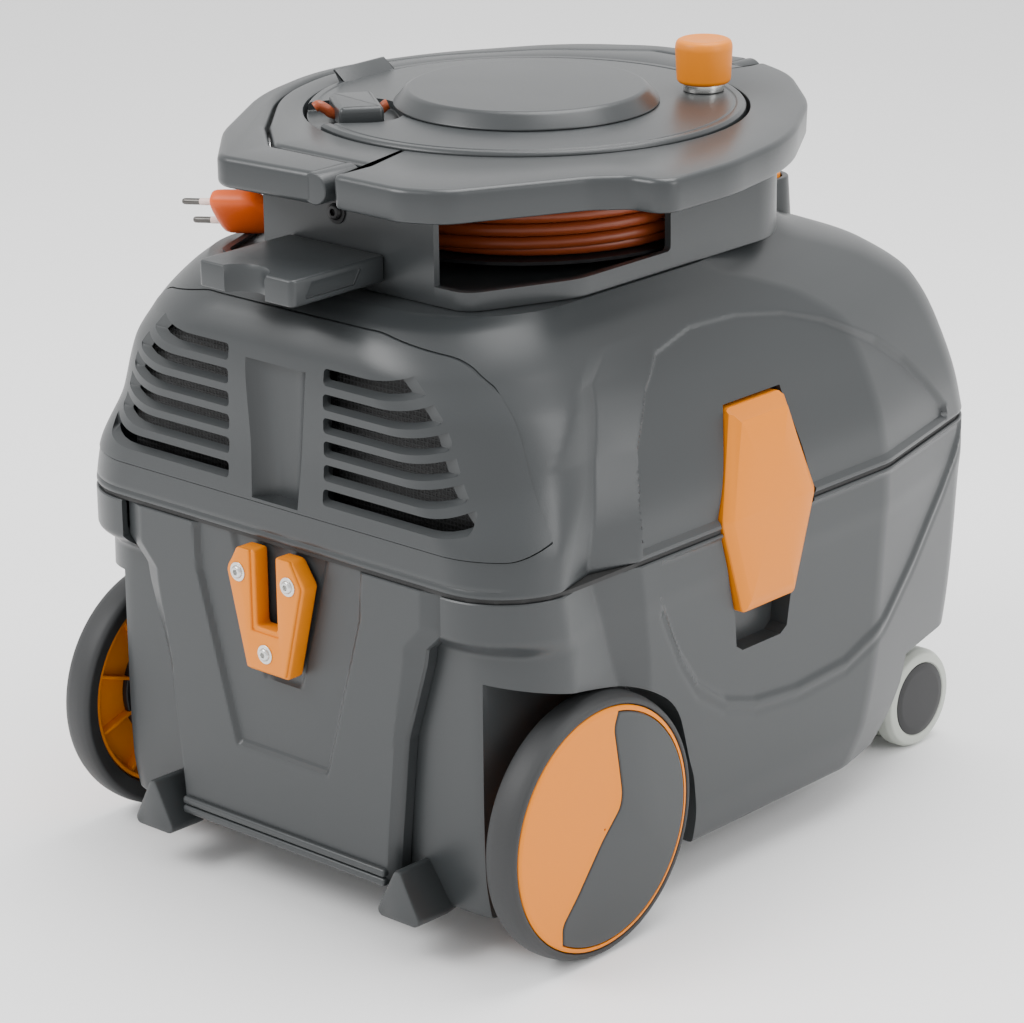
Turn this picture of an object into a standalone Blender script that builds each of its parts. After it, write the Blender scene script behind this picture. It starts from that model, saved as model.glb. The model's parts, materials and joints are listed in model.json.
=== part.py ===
"""Canister shop vacuum with a hand-wound cable reel on top.

Frame: metres, +Z up, floor at z = 0, x = 0 the plane of symmetry, +Y towards the hose inlet.
"""

import math

import bmesh
import bpy
from mathutils import Euler, Matrix, Vector

# Body
BODY_HALF = 0.184            # half width at the belt
REAR_Y = -0.233              # rear face of the belt
FRONT_Y = 0.248              # front face of the belt
BELT_Z = 0.230               # split between tub and head
BELT_GAP = 0.0015            # tub and head each stop this far from the split
FLOOR_GAP = 0.030            # underside of the tub above the floor
TUB_WALL = 0.004
HEAD_WALL = 0.0035
SHOULDER_Z = 0.3735          # flat top of the upper housing
FIT = 0.0003                 # gap between touching pieces
SLIDE_FIT = 0.0015           # gap round a piece that slides or swings

# Big wheels
TRACK = 0.378                # over the outer faces
WHEEL_R = 0.080
WHEEL_WIDTH = 0.024
WHEEL_Y = -0.1600
AXLE_R = 0.006
WELL_X = 0.148               # inner wall of the wheel well

# Casters
CASTER_X = 0.1147
CASTER_SWIVEL_Y = 0.1957
CASTER_TRAIL = 0.020
CASTER_R = 0.033
CASTER_HUB_R = 0.0249
CASTER_WHEEL_W = 0.016
CASTER_WIDTH = 0.044
CASTER_SWEEP_R = 0.061       # circle that a caster needs as it turns
CASTER_ROOM_Z = 0.088        # underside of the tub above a caster

# Reel and ring
REEL_Y = -0.0115
DISC_R = 0.1316
DISC_Z = 0.452               # top face of the crank disc
DISC_T = 0.008
CAP_R = 0.080
CAP_TOP_R = 0.073
CAP_H = 0.010
DRUM_R = 0.088
FLANGE_R = 0.116
FLANGE_T = 0.002
FLANGE_Z = 0.3815
RING_Z = 0.450               # top face of the ring
RING_T = 0.020
RING_BORE = 0.1338
LEDGE_R = 0.1185
KNOB_AT = (0.063, 0.079)
KNOB_R = 0.0175
KNOB_H = 0.027
KNOB_Z = 0.457

# Carry handle
HANDLE_X = 0.020             # hinge line
HANDLE_GAP = 0.0025
HANDLE_PIN_R = 0.004

# Latches
LATCH_LOW_Z = 0.174
LATCH_MID_Z = 0.234
LATCH_TOP_Z = 0.298
LATCH_END_HALF = 0.025
LATCH_MID_HALF = 0.0435
LATCH_Y = -0.006
LATCH_T = 0.016
LATCH_FACE_X = 0.1885        # outer face at the belt
LATCH_TOP_X = 0.1800         # outer face at the top end
LATCH_CHAMFER = 0.009        # slope across the top edge, which swings inwards
LATCH_PIN_R = 0.002
LATCH_BOX_HALF = 0.054       # wall kept round the pocket

# Mains cord
CORD_D = 0.0075
CORD_ROWS = 5
CORD_LAYERS = 3
CORD_PITCH = 0.0078
WIND_FIT = 0.0011              # gap between the drum and the winding

HALF_TURN = math.pi
QUARTER = math.pi / 2

for old in list(bpy.data.objects):
    bpy.data.objects.remove(old, do_unlink=True)

parts = bpy.data.collections.new("shop_vacuum")
cutters = bpy.data.collections.new("cutters")
bpy.context.scene.collection.children.link(parts)
bpy.context.scene.collection.children.link(cutters)
cutters.hide_render = True


def material(name, colour, roughness, metallic=0.0):
    made = bpy.data.materials.new(name)
    made.use_nodes = True
    shader = made.node_tree.nodes["Principled BSDF"]
    shader.inputs["Base Color"].default_value = (*colour, 1.0)
    shader.inputs["Roughness"].default_value = roughness
    shader.inputs["Metallic"].default_value = metallic
    return made


GREY = ("body_grey", (0.13, 0.14, 0.14), 0.45)
ORANGE = ("bright_orange", (0.90, 0.30, 0.04), 0.40)
BLACK = ("black_plastic", (0.02, 0.02, 0.02), 0.50)
RUBBER = ("dark_rubber", (0.08, 0.08, 0.08), 0.70)
LIGHT = ("light_rubber", (0.55, 0.57, 0.54), 0.60)
STEEL = ("steel", (0.62, 0.62, 0.60), 0.30, 1.0)
CORD = ("cord_orange", (0.72, 0.16, 0.04), 0.50)
FLEECE = ("fleece", (0.80, 0.78, 0.72), 0.90)
FOAM = ("filter_foam", (0.10, 0.10, 0.11), 0.95)


def place(name, data, finish=None, at=(0, 0, 0), turn=(0, 0, 0), parent=None):
    """Links a piece, or a cutter where no finish is given."""
    made = bpy.data.objects.new(name, data)
    made.location = at
    made.rotation_euler = turn
    made.parent = parent
    if finish is None:
        cutters.objects.link(made)
        made.hide_render = True
        made.display_type = "WIRE"
    else:
        parts.objects.link(made)
        data.materials.append(material(name + "_" + finish[0], *finish[1:]))
    return made


def empty(name, at, parent=None):
    made = bpy.data.objects.new(name, None)
    made.location = at
    made.parent = parent
    parts.objects.link(made)
    return made


def box_mesh(low, high):
    work = bmesh.new()
    bmesh.ops.create_cube(work, size=1.0)
    for vert in work.verts:
        vert.co = Vector(low[i] + (vert.co[i] + 0.5) * (high[i] - low[i]) for i in range(3))
    data = bpy.data.meshes.new("box")
    work.to_mesh(data)
    work.free()
    return data


def rod_mesh(radius, low, high, axis="Z", sides=32, top_radius=None):
    """A cylinder or cone round the axis, between two stations along it."""
    work = bmesh.new()
    bmesh.ops.create_cone(
        work, cap_ends=True, segments=sides, radius1=radius,
        radius2=radius if top_radius is None else top_radius, depth=high - low,
    )
    bmesh.ops.translate(work, verts=work.verts, vec=(0, 0, (low + high) / 2))
    turn = {"Z": (0, 0, 0), "X": (0, QUARTER, 0), "Y": (-QUARTER, 0, 0)}[axis]
    bmesh.ops.rotate(work, verts=work.verts, matrix=Euler(turn).to_matrix())
    data = bpy.data.meshes.new("rod")
    work.to_mesh(data)
    data.shade_smooth()
    data.set_sharp_from_angle(angle=math.radians(40))
    work.free()
    return data


def face_outward(work):
    """Turns every face of a closed solid outwards."""
    bmesh.ops.recalc_face_normals(work, faces=work.faces)
    if work.calc_volume(signed=True) < 0:
        bmesh.ops.reverse_faces(work, faces=work.faces)


def turned_mesh(profile, sides=48, axis="Z"):
    """A closed profile of (radius, station) points, turned round the axis."""
    work = bmesh.new()
    turn = {"Z": (0, 0, 0), "X": (0, QUARTER, 0), "Y": (-QUARTER, 0, 0)}[axis]
    verts = [work.verts.new((radius, 0, station)) for radius, station in profile]
    ends = [verts[i:i + 2] for i in range(len(verts) - 1)]
    if profile[0][0] > 0 and profile[-1][0] > 0:
        ends.append([verts[-1], verts[0]])
    edges = [work.edges.new(pair) for pair in ends]
    bmesh.ops.spin(
        work, geom=verts + edges, axis=(0, 0, 1), cent=(0, 0, 0), angle=2 * HALF_TURN,
        steps=sides, use_merge=True,
    )
    bmesh.ops.remove_doubles(work, verts=work.verts, dist=1e-6)
    on_axis = [edge for edge in work.edges if not edge.link_faces]
    bmesh.ops.delete(work, geom=on_axis, context="EDGES")
    face_outward(work)
    bmesh.ops.rotate(work, verts=work.verts, matrix=Euler(turn).to_matrix())
    data = bpy.data.meshes.new("turned")
    work.to_mesh(data)
    data.shade_smooth()
    data.set_sharp_from_angle(angle=math.radians(35))
    work.free()
    return data


def slab_mesh(outlines, low, high, axis="Z"):
    """Flat outlines (the later ones are holes), thickened between two stations along the axis."""
    curve = bpy.data.curves.new("outline", "CURVE")
    curve.dimensions = "2D"
    curve.fill_mode = "BOTH"
    curve.extrude = (high - low) / 2
    for outline in outlines:
        spline = curve.splines.new("POLY")
        spline.points.add(len(outline) - 1)
        for point, (u, v) in zip(spline.points, outline):
            point.co = (u, v, 0, 1)
        spline.use_cyclic_u = True
    guide = bpy.data.objects.new("outline", curve)
    bpy.context.scene.collection.objects.link(guide)
    graph = bpy.context.evaluated_depsgraph_get()
    data = bpy.data.meshes.new_from_object(guide.evaluated_get(graph))
    bpy.data.objects.remove(guide)
    work = bmesh.new()
    work.from_mesh(data)
    bmesh.ops.remove_doubles(work, verts=work.verts, dist=1e-6)
    middle = (low + high) / 2
    for vert in work.verts:
        u, v, w = vert.co
        w += middle
        vert.co = {"Z": (u, v, w), "X": (w, u, v), "Y": (u, w, v)}[axis]
    face_outward(work)
    work.to_mesh(data)
    work.free()
    data.materials.clear()
    return data


def loft_mesh(rings):
    """A solid through rings of equal point counts, with flat ends."""
    work = bmesh.new()
    rows = [[work.verts.new(point) for point in ring] for ring in rings]
    count = len(rings[0])
    for lower, upper in zip(rows, rows[1:]):
        for i in range(count):
            j = (i + 1) % count
            work.faces.new((lower[i], lower[j], upper[j], upper[i]))
    work.faces.new(reversed(rows[0]))
    work.faces.new(rows[-1])
    face_outward(work)
    data = bpy.data.meshes.new("loft")
    work.to_mesh(data)
    data.shade_smooth()
    data.set_sharp_from_angle(angle=math.radians(35))
    work.free()
    return data


def boolean(target, other, operation="DIFFERENCE"):
    step = target.modifiers.new(other.name, "BOOLEAN")
    step.operation = operation
    step.object = other
    step.solver = "EXACT"


def rounded(corners, steps=5):
    """A closed outline: each corner (u, v, radius) becomes an arc of the same number of points."""
    outline = []
    count = len(corners)
    for i, (u, v, radius) in enumerate(corners):
        here = Vector((u, v))
        back = (Vector(corners[i - 1][:2]) - here).normalized()
        ahead = (Vector(corners[(i + 1) % count][:2]) - here).normalized()
        half = back.angle(ahead) / 2
        reach = max(radius, 1e-5) / math.tan(half)
        centre = here + (back + ahead).normalized() * (max(radius, 1e-5) / math.sin(half))
        first = here + back * reach - centre
        sweep = first.angle_signed(here + ahead * reach - centre)
        for k in range(steps + 1):
            angle = -sweep * k / steps
            turned = Vector((
                first.x * math.cos(angle) - first.y * math.sin(angle),
                first.x * math.sin(angle) + first.y * math.cos(angle),
            ))
            outline.append(tuple(centre + turned))
    return outline


def grown(outline, distance):
    """The outline with every side moved outwards by the distance (inwards where it is negative)."""
    points = [Vector(point) for point in outline]
    count = len(points)
    area = sum(a.x * b.y - b.x * a.y for a, b in zip(points, points[1:] + points[:1]))
    out = math.copysign(distance, area)
    moved = []
    for i, point in enumerate(points):
        before = (point - points[i - 1]).normalized()
        after = (points[(i + 1) % count] - point).normalized()
        normal = Vector((before.y + after.y, -before.x - after.x)).normalized()
        across = normal.dot(Vector((before.y, -before.x)))
        moved.append(tuple(point + normal * out / across))
    return moved


def body_plan(half, rear, front, rear_round, front_round, inset=0.0, nose=0.033, taper=0.135):
    """Plan of the body: straight sides that draw in over the last stretch towards the front."""
    half -= inset
    rear += inset
    front -= inset
    rear_round = max(rear_round - inset, 0.004)
    front_round = max(front_round - inset, 0.004)
    right = [
        (half, rear, rear_round),
        (half, front - taper, 0.05),
        (half - nose, front, front_round),
    ]
    return rounded(right + [(-x, y, r) for x, y, r in reversed(right)])


# Each station: height, half width, rear, front, rear corner radius, front corner radius.
TUB_STATIONS = [
    (FLOOR_GAP, BODY_HALF - 0.018, REAR_Y + 0.018, FRONT_Y - 0.018, 0.030, 0.040),
    (0.060, BODY_HALF - 0.010, REAR_Y + 0.015, FRONT_Y - 0.010, 0.032, 0.040),
    (0.120, BODY_HALF - 0.004, REAR_Y + 0.014, FRONT_Y - 0.004, 0.040, 0.040),
    (0.192, BODY_HALF - 0.001, REAR_Y + 0.014, FRONT_Y - 0.0005, 0.046, 0.040),
    (0.206, BODY_HALF, REAR_Y, FRONT_Y, 0.050, 0.040),
    (BELT_Z - BELT_GAP, BODY_HALF, REAR_Y, FRONT_Y, 0.050, 0.040),
]
HEAD_STATIONS = [
    (BELT_Z + BELT_GAP, BODY_HALF, REAR_Y, FRONT_Y, 0.050, 0.040),
    (0.252, 0.183, REAR_Y + 0.0015, FRONT_Y - 0.003, 0.054, 0.046),
    (0.290, 0.175, REAR_Y + 0.0045, FRONT_Y - 0.010, 0.076, 0.055),
    (0.322, 0.166, REAR_Y + 0.0050, FRONT_Y - 0.024, 0.080, 0.060),
    (0.344, 0.153, REAR_Y + 0.0070, FRONT_Y - 0.051, 0.085, 0.062),
    (0.358, 0.143, REAR_Y + 0.0130, FRONT_Y - 0.083, 0.085, 0.062),
    (0.367, 0.135, REAR_Y + 0.0220, FRONT_Y - 0.108, 0.080, 0.060),
    (SHOULDER_Z, 0.1295, REAR_Y + 0.0380, FRONT_Y - 0.118, 0.070, 0.055),
]


def body_rings(stations, inset=0.0, low=None, high=None):
    """The body's rings, drawn in by a wall, with the end stations moved where low or high is given."""
    rings = []
    for i, (z, *plan) in enumerate(stations):
        if low is not None and i == 0:
            z = low
        if high is not None and i == len(stations) - 1:
            z = high
        rings.append([(x, y, z) for x, y in body_plan(*plan, inset=inset)])
    return rings


def span(sign, near, far):
    """Low and high x of a stretch that starts near the middle plane, on the side of the sign."""
    return (near, far) if sign > 0 else (-far, -near)


# ---------------------------------------------------------------- tub
def well_outline(grow=0.0):
    """Side view of the wheel well: open to the rear, its arch over the tyre."""
    arch = [
        (-0.262 - grow, 0.0), (-0.262 - grow, 0.183 + grow), (-0.220, 0.178 + grow),
        (-0.150, 0.166 + grow), (-0.106 + grow, 0.148 + grow), (-0.076 + grow, 0.112 + grow),
        (-0.066 + grow, 0.080), (-0.054 + grow, 0.0),
    ]
    return arch


def latch_rings(sign, grow=0.0, back=0.0, low=LATCH_LOW_Z, face=0.0):
    """Rings of a latch, or of the pocket round it: narrow ends, widest at the belt."""
    rings = []
    stations = [
        (low - grow, LATCH_END_HALF, LATCH_FACE_X, 0.0),
        (LATCH_LOW_Z - grow / 2, LATCH_END_HALF, LATCH_FACE_X, 0.0),
        (LATCH_MID_Z, LATCH_MID_HALF, LATCH_FACE_X, 0.0),
        (LATCH_TOP_Z - 0.004 + grow, LATCH_END_HALF + 0.001, LATCH_TOP_X + 0.0005, 0.0),
        (LATCH_TOP_Z + 1.5 * grow, LATCH_END_HALF, LATCH_TOP_X, LATCH_CHAMFER),
    ]
    for z, half, outer, chamfer in stations[(0 if low < LATCH_LOW_Z else 1):]:
        inner = outer - LATCH_T - back
        outer += face - chamfer
        half += grow
        corners = [(inner, LATCH_Y - half), (outer, LATCH_Y - half), (outer, LATCH_Y + half),
            (inner, LATCH_Y + half)]
        rings.append([(sign * x, y, z) for x, y in corners])
    return rings


def latch_pocket(name, sign, low=LATCH_LOW_Z):
    return place(name, loft_mesh(latch_rings(sign, SLIDE_FIT, 0.006, low, 0.02)))


def caster_room(side, sign):
    outline = [(0.134, -0.01), (0.134, FLOOR_GAP), (0.169, CASTER_ROOM_Z), (0.27, CASTER_ROOM_Z),
        (0.27, -0.01)]
    wedge = place("caster_room_" + side, slab_mesh([outline], *span(sign, 0.064, 0.22), axis="X"))
    sweep = place(
        "caster_sweep_" + side, rod_mesh(CASTER_SWEEP_R, -0.01, CASTER_ROOM_Z, sides=40),
        at=(sign * CASTER_X, CASTER_SWIVEL_Y, 0),
    )
    return wedge, sweep


PANEL_TOP_HALF = 0.131
INLET_Z = 0.150
INLET_R = 0.026

tub = place("lower_tub", loft_mesh(body_rings(TUB_STATIONS)), GREY)
cavity = place(
    "tub_cavity",
    loft_mesh(body_rings(TUB_STATIONS, TUB_WALL, low=FLOOR_GAP + TUB_WALL, high=BELT_Z + 0.01)),
)
keep_out = []
for side, sign in (("right", 1), ("left", -1)):
    well = place("well_" + side, slab_mesh([well_outline()], *span(sign, WELL_X, 0.21), axis="X"))
    liner = place(
        "well_liner_" + side,
        slab_mesh([well_outline(TUB_WALL)], *span(sign, WELL_X - TUB_WALL, 0.22), axis="X"),
    )
    wedge, sweep = caster_room(side, sign)
    roof = place(
        "caster_roof_" + side,
        box_mesh(
            (span(sign, CASTER_X - CASTER_SWEEP_R - TUB_WALL, 0.22)[0], 0.128, -0.02),
            (span(sign, CASTER_X - CASTER_SWEEP_R - TUB_WALL, 0.22)[1], 0.30, CASTER_ROOM_Z + TUB_WALL),
        ),
    )
    latch_box = place(
        "latch_box_tub_" + side,
        box_mesh(
            (span(sign, 0.160, 0.22)[0], LATCH_Y - LATCH_BOX_HALF, 0.140),
            (span(sign, 0.160, 0.22)[1], LATCH_Y + LATCH_BOX_HALF, 0.26),
        ),
    )
    for solid in (liner, roof, latch_box):
        boolean(cavity, solid)
    for solid in (well, wedge, sweep, latch_pocket("tub_latch_pocket_" + side, sign, 0.148)):
        keep_out.append(solid)
boolean(tub, cavity)
for solid in keep_out:
    boolean(tub, solid)
PANEL_MID_HALF = 0.112
PANEL_SHOULDER_Z = 0.206
PANEL_WAIST_Z = 0.192
seat_outline = [
    (-PANEL_TOP_HALF - FIT, 0.24), (-PANEL_TOP_HALF - FIT, PANEL_SHOULDER_Z - FIT),
    (-PANEL_MID_HALF - FIT, PANEL_WAIST_Z - FIT), (-PANEL_MID_HALF - FIT, 0.18),
    (PANEL_MID_HALF + FIT, 0.18),
    (PANEL_MID_HALF + FIT, PANEL_WAIST_Z - FIT), (PANEL_TOP_HALF + FIT, PANEL_SHOULDER_Z - FIT),
    (PANEL_TOP_HALF + FIT, 0.24),
]
boolean(tub, place("panel_seat", slab_mesh([seat_outline], -0.26, REAR_Y + 0.0138, "Y")))
INLET_FACE_Y = FRONT_Y - 0.0005
inlet_boss = place("inlet_boss", rod_mesh(0.036, FRONT_Y - 0.007, INLET_FACE_Y, "Y", 40), at=(0, 0, INLET_Z))
boolean(tub, inlet_boss, "UNION")
boolean(tub, place("inlet_hole", rod_mesh(INLET_R, FRONT_Y - 0.03, FRONT_Y + 0.02, "Y"), at=(0, 0, INLET_Z)))

# Rear panel: proud of the tub's rear wall, widest at the belt.
PANEL_BACK_Y = REAR_Y + 0.014 - FIT
PANEL_LOW_Z = 0.040
panel_outline = [
    (-PANEL_TOP_HALF, BELT_Z - BELT_GAP), (-PANEL_TOP_HALF, PANEL_SHOULDER_Z),
    (-PANEL_MID_HALF, PANEL_WAIST_Z),
    (-0.098, PANEL_LOW_Z), (0.098, PANEL_LOW_Z), (PANEL_MID_HALF, PANEL_WAIST_Z),
    (PANEL_TOP_HALF, PANEL_SHOULDER_Z), (PANEL_TOP_HALF, BELT_Z - BELT_GAP),
]
panel = place("rear_panel", slab_mesh([panel_outline], REAR_Y, PANEL_BACK_Y, "Y"), GREY)

FOOT_X = 0.1027
FOOT_LOW_Z = 0.026
FOOT_TOP_Z = 0.0615
foot_outline = rounded([
    (-0.0185, FOOT_LOW_Z, 0.004), (0.0185, FOOT_LOW_Z, 0.004), (0.0, FOOT_TOP_Z, 0.004),
], 3)
for side, sign in (("right", 1), ("left", -1)):
    place(
        "rear_foot_" + side, slab_mesh([foot_outline], REAR_Y - 0.011, REAR_Y - FIT, "Y"), GREY,
        at=(sign * FOOT_X, 0, 0),
    )

# Parking bracket: a shield with a slot open at the top, held by three screws.
BRACKET_FACE_Y = REAR_Y - 0.0105
SLOT_HALF = 0.0085
SLOT_LOW_Z = 0.180
bracket_outline = [
    (-SLOT_HALF, SLOT_LOW_Z), (SLOT_HALF, SLOT_LOW_Z), (SLOT_HALF, 0.2265), (0.022, 0.2265), (0.032, 0.212),
    (0.017, 0.152), (-0.017, 0.152), (-0.032, 0.212), (-0.022, 0.2265), (-SLOT_HALF, 0.2265),
]
bracket = place("parking_bracket", slab_mesh([bracket_outline], BRACKET_FACE_Y, REAR_Y - FIT, "Y"), ORANGE)
SCREWS = {"left": (-0.0205, 0.2115), "right": (0.0205, 0.2115), "bottom": (0.0, 0.1650)}
for label, (x, z) in SCREWS.items():
    place(
        "bracket_screw_" + label,
        turned_mesh([
            (0.0, -0.0030), (0.0028, -0.0030), (0.0040, -0.0018), (0.0040, -0.0008), (0.0058, -0.0008),
            (0.0058, -0.0003), (0.0018, -0.0003), (0.0018, 0.0180), (0.0, 0.0180),
        ], 20, "Y"),
        STEEL, at=(x, BRACKET_FACE_Y, z),
    )
    hole = place("screw_hole_" + label, rod_mesh(0.0022, BRACKET_FACE_Y - 0.01, PANEL_BACK_Y + 0.02, "Y",
        16), at=(x, 0, z))
    for solid in (bracket, panel, tub):
        boolean(solid, hole)

# Hose inlet: a flanged socket in the front wall.
HOSE_R = 0.021
place(
    "hose_inlet",
    turned_mesh([
        (HOSE_R, -0.050), (INLET_R - FIT, -0.050), (INLET_R - FIT, 0.0), (0.034, 0.0),
        (0.034, 0.0010), (0.032, 0.0018), (HOSE_R, 0.0018),
    ], 40, "Y"),
    BLACK, at=(0, INLET_FACE_Y + FIT, INLET_Z),
)

# Dust bag on its holder.
place(
    "bag_holder",
    slab_mesh([
        rounded([(-0.050, 0.105, 0.008), (0.050, 0.105, 0.008), (0.050, 0.195, 0.008),
            (-0.050, 0.195, 0.008)], 3),
        [(0.0235 * math.cos(a * QUARTER / 6),
            INLET_Z + 0.0235 * math.sin(a * QUARTER / 6)) for a in range(24)],
    ], 0.1930, 0.1960, "Y"),
    BLACK,
)
bag_rings = []
for z, grow in ((0.098, 0.72), (0.108, 0.93), (0.130, 1.0), (0.170, 1.0), (0.190, 0.93), (0.200, 0.72)):
    plan = rounded([
        (0.118 * grow, -0.150 * grow, 0.05), (0.118 * grow, 0.192 * grow, 0.05),
        (-0.118 * grow, 0.192 * grow, 0.05), (-0.118 * grow, -0.150 * grow, 0.05),
    ], 4)
    bag_rings.append([(x, y, z) for x, y in plan])
place("dust_bag", loft_mesh(bag_rings), FLEECE)

# ---------------------------------------------------------------- big wheels
FACE_X = TRACK / 2
TYRE_IN = FACE_X - WHEEL_WIDTH
for side, sign in (("right", 1), ("left", -1)):
    hub = empty("wheel_" + side, (0, WHEEL_Y, WHEEL_R))
    turn = (0, 0, 0) if sign > 0 else (0, 0, HALF_TURN)
    place(
        "axle_" + side, rod_mesh(AXLE_R, WELL_X - 0.003, FACE_X - 0.008, "X", 24), STEEL,
        turn=turn, parent=hub,
    )
    bore = place("axle_bore_" + side, rod_mesh(AXLE_R + FIT, WELL_X - 0.02, WELL_X + 0.01, "X", 24),
        turn=turn, parent=hub)
    boolean(tub, bore)
    place(
        "wheel_tyre_" + side,
        turned_mesh([
            (0.0660, TYRE_IN + 0.004), (0.0765, TYRE_IN + 0.0005), (0.0790, TYRE_IN + 0.003),
            (WHEEL_R, TYRE_IN + 0.007), (WHEEL_R, TYRE_IN + 0.011), (0.0793, TYRE_IN + 0.017),
            (0.0775, FACE_X - 0.0025), (0.0762, FACE_X - 0.0012), (0.0740, FACE_X - 0.0012),
            (0.0735, FACE_X - 0.006),
            (0.0660, FACE_X - 0.006),
        ], 40, "X"),
        RUBBER, turn=turn, parent=hub,
    )
    place(
        "wheel_rim_" + side,
        turned_mesh([
            (AXLE_R + FIT, TYRE_IN + 0.006), (0.022, TYRE_IN + 0.006), (0.024, FACE_X - 0.010),
            (0.060, FACE_X - 0.010), (0.0630, TYRE_IN + 0.006), (0.0657, TYRE_IN + 0.006),
            (0.0657, FACE_X - 0.0057), (0.0730, FACE_X - 0.0057), (0.0737, FACE_X - 0.0012),
            (0.0720, FACE_X - 0.0003),
            (0.0, FACE_X - 0.0003), (0.0, FACE_X - 0.006), (AXLE_R + FIT, FACE_X - 0.006),
        ], 40, "X"),
        ORANGE, turn=turn, parent=hub,
    )
    rim = bpy.data.objects["wheel_rim_" + side]
    # The insert covers the front part of the face; its rear edge bends round the hub.
    insert_outline = [(-0.004, 0.070)]
    for k in range(17):
        angle = math.radians(84 - k * 11.2)
        insert_outline.append((0.0695 * math.cos(angle), 0.0695 * math.sin(angle)))
    insert_outline += [(-0.036, -0.050), (-0.006, 0.000), (0.015, 0.018), (0.009, 0.056)]
    insert_data = slab_mesh([insert_outline], FACE_X - 0.0025, FACE_X, "X")
    seat_data = slab_mesh([grown(insert_outline, FIT)], FACE_X - 0.0028, FACE_X + 0.004, "X")
    boolean(rim, place("insert_seat_" + side, seat_data, turn=turn, parent=hub))
    place("wheel_insert_" + side, insert_data, GREY, turn=turn, parent=hub)

# ---------------------------------------------------------------- casters
for side, sign in (("right", 1), ("left", -1)):
    swivel = empty("caster_" + side, (sign * CASTER_X, CASTER_SWIVEL_Y, 0))
    web = CASTER_WIDTH / 2 - CASTER_WHEEL_W - 0.0012
    web_outline = [(CASTER_TRAIL + 0.0320 * math.cos(math.radians(a)),
        CASTER_R + 0.0320 * math.sin(math.radians(a)))
                   for a in range(-30, 121, 15)]
    web_outline += [(0.0040, 0.0700), (-0.0120, 0.0700), (-0.0120, 0.0460)]
    hood = place("caster_fork_" + side, slab_mesh([web_outline], -web, web, "X"), BLACK, parent=swivel)
    boolean(hood, place("caster_stem_" + side, rod_mesh(0.010, 0.0680, CASTER_ROOM_Z - 0.0006, sides=24),
        parent=swivel), "UNION")
    stem = place("caster_pin_" + side, rod_mesh(0.005, 0.080, CASTER_ROOM_Z + 0.014, sides=20),
        parent=swivel)
    boolean(hood, stem, "UNION")
    boolean(tub, place("stem_bore_" + side, rod_mesh(0.0055, 0.07, CASTER_ROOM_Z + 0.03, sides=20),
        parent=swivel))
    axle_at = (0, CASTER_TRAIL, CASTER_R)
    boolean(hood, place("caster_bore_" + side, rod_mesh(0.0028, -0.03, 0.03, "X", 16), at=axle_at,
        parent=swivel))
    place("caster_axle_" + side, rod_mesh(0.0025, -0.020, 0.020, "X", 16), STEEL, at=axle_at, parent=swivel)
    for label, way in (("outer", sign), ("inner", -sign)):
        place(
            "caster_wheel_" + label + "_" + side,
            turned_mesh([
                (0.0028, web + 0.0012), (CASTER_R - 0.002, web + 0.0012), (CASTER_R, web + 0.0040),
                (CASTER_R, CASTER_WIDTH / 2 - 0.005), (CASTER_R - 0.0025, CASTER_WIDTH / 2 - 0.001),
                (CASTER_HUB_R, CASTER_WIDTH / 2), (0.0, CASTER_WIDTH / 2), (0.0, 0.0204), (0.0028, 0.0204),
            ], 28, "X"),
            LIGHT, at=axle_at, turn=(0, 0, 0) if way > 0 else (0, 0, HALF_TURN), parent=swivel,
        )

# ---------------------------------------------------------------- head
head = empty("head", (0, 0, 0))
housing = place("upper_housing", loft_mesh(body_rings(HEAD_STATIONS)), GREY, parent=head)
room = place(
    "head_cavity",
    loft_mesh(body_rings(HEAD_STATIONS, HEAD_WALL, low=BELT_Z - 0.01, high=SHOULDER_Z - HEAD_WALL)),
)

# Exhaust cover: the rear of the head, over a flat wall, between two heights.
COVER_LOW_Z = 0.252
COVER_TOP_Z = 0.366
COVER_WALL_Y = -0.192
BEHIND_Y = -0.27             # clear of every rear face
cover_corners = [
    (0.184, COVER_LOW_Z, 0.014), (0.168, 0.318, 0.030), (0.120, 0.356, 0.040), (0.070, COVER_TOP_Z, 0.06),
]
cover_outline = rounded(cover_corners + [(-x, z, r) for x, z, r in reversed(cover_corners)], 3)
cover_hole = place("cover_hole", slab_mesh([cover_outline], BEHIND_Y, COVER_WALL_Y, "Y"))
wall_block = place("cover_wall", box_mesh((-0.2, BEHIND_Y, COVER_LOW_Z - 0.006),
    (0.2, COVER_WALL_Y + HEAD_WALL, 0.40)))
boolean(room, wall_block)
for side, sign in (("right", 1), ("left", -1)):
    low, high = span(sign, 0.152, 0.22)
    boolean(room, place("latch_box_head_" + side,
        box_mesh((low, LATCH_Y - LATCH_BOX_HALF, 0.20), (high, LATCH_Y + LATCH_BOX_HALF, 0.312))))
boolean(housing, room)
boolean(housing, cover_hole)
for side, sign in (("right", 1), ("left", -1)):
    boolean(housing, latch_pocket("head_latch_pocket_" + side, sign))

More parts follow.
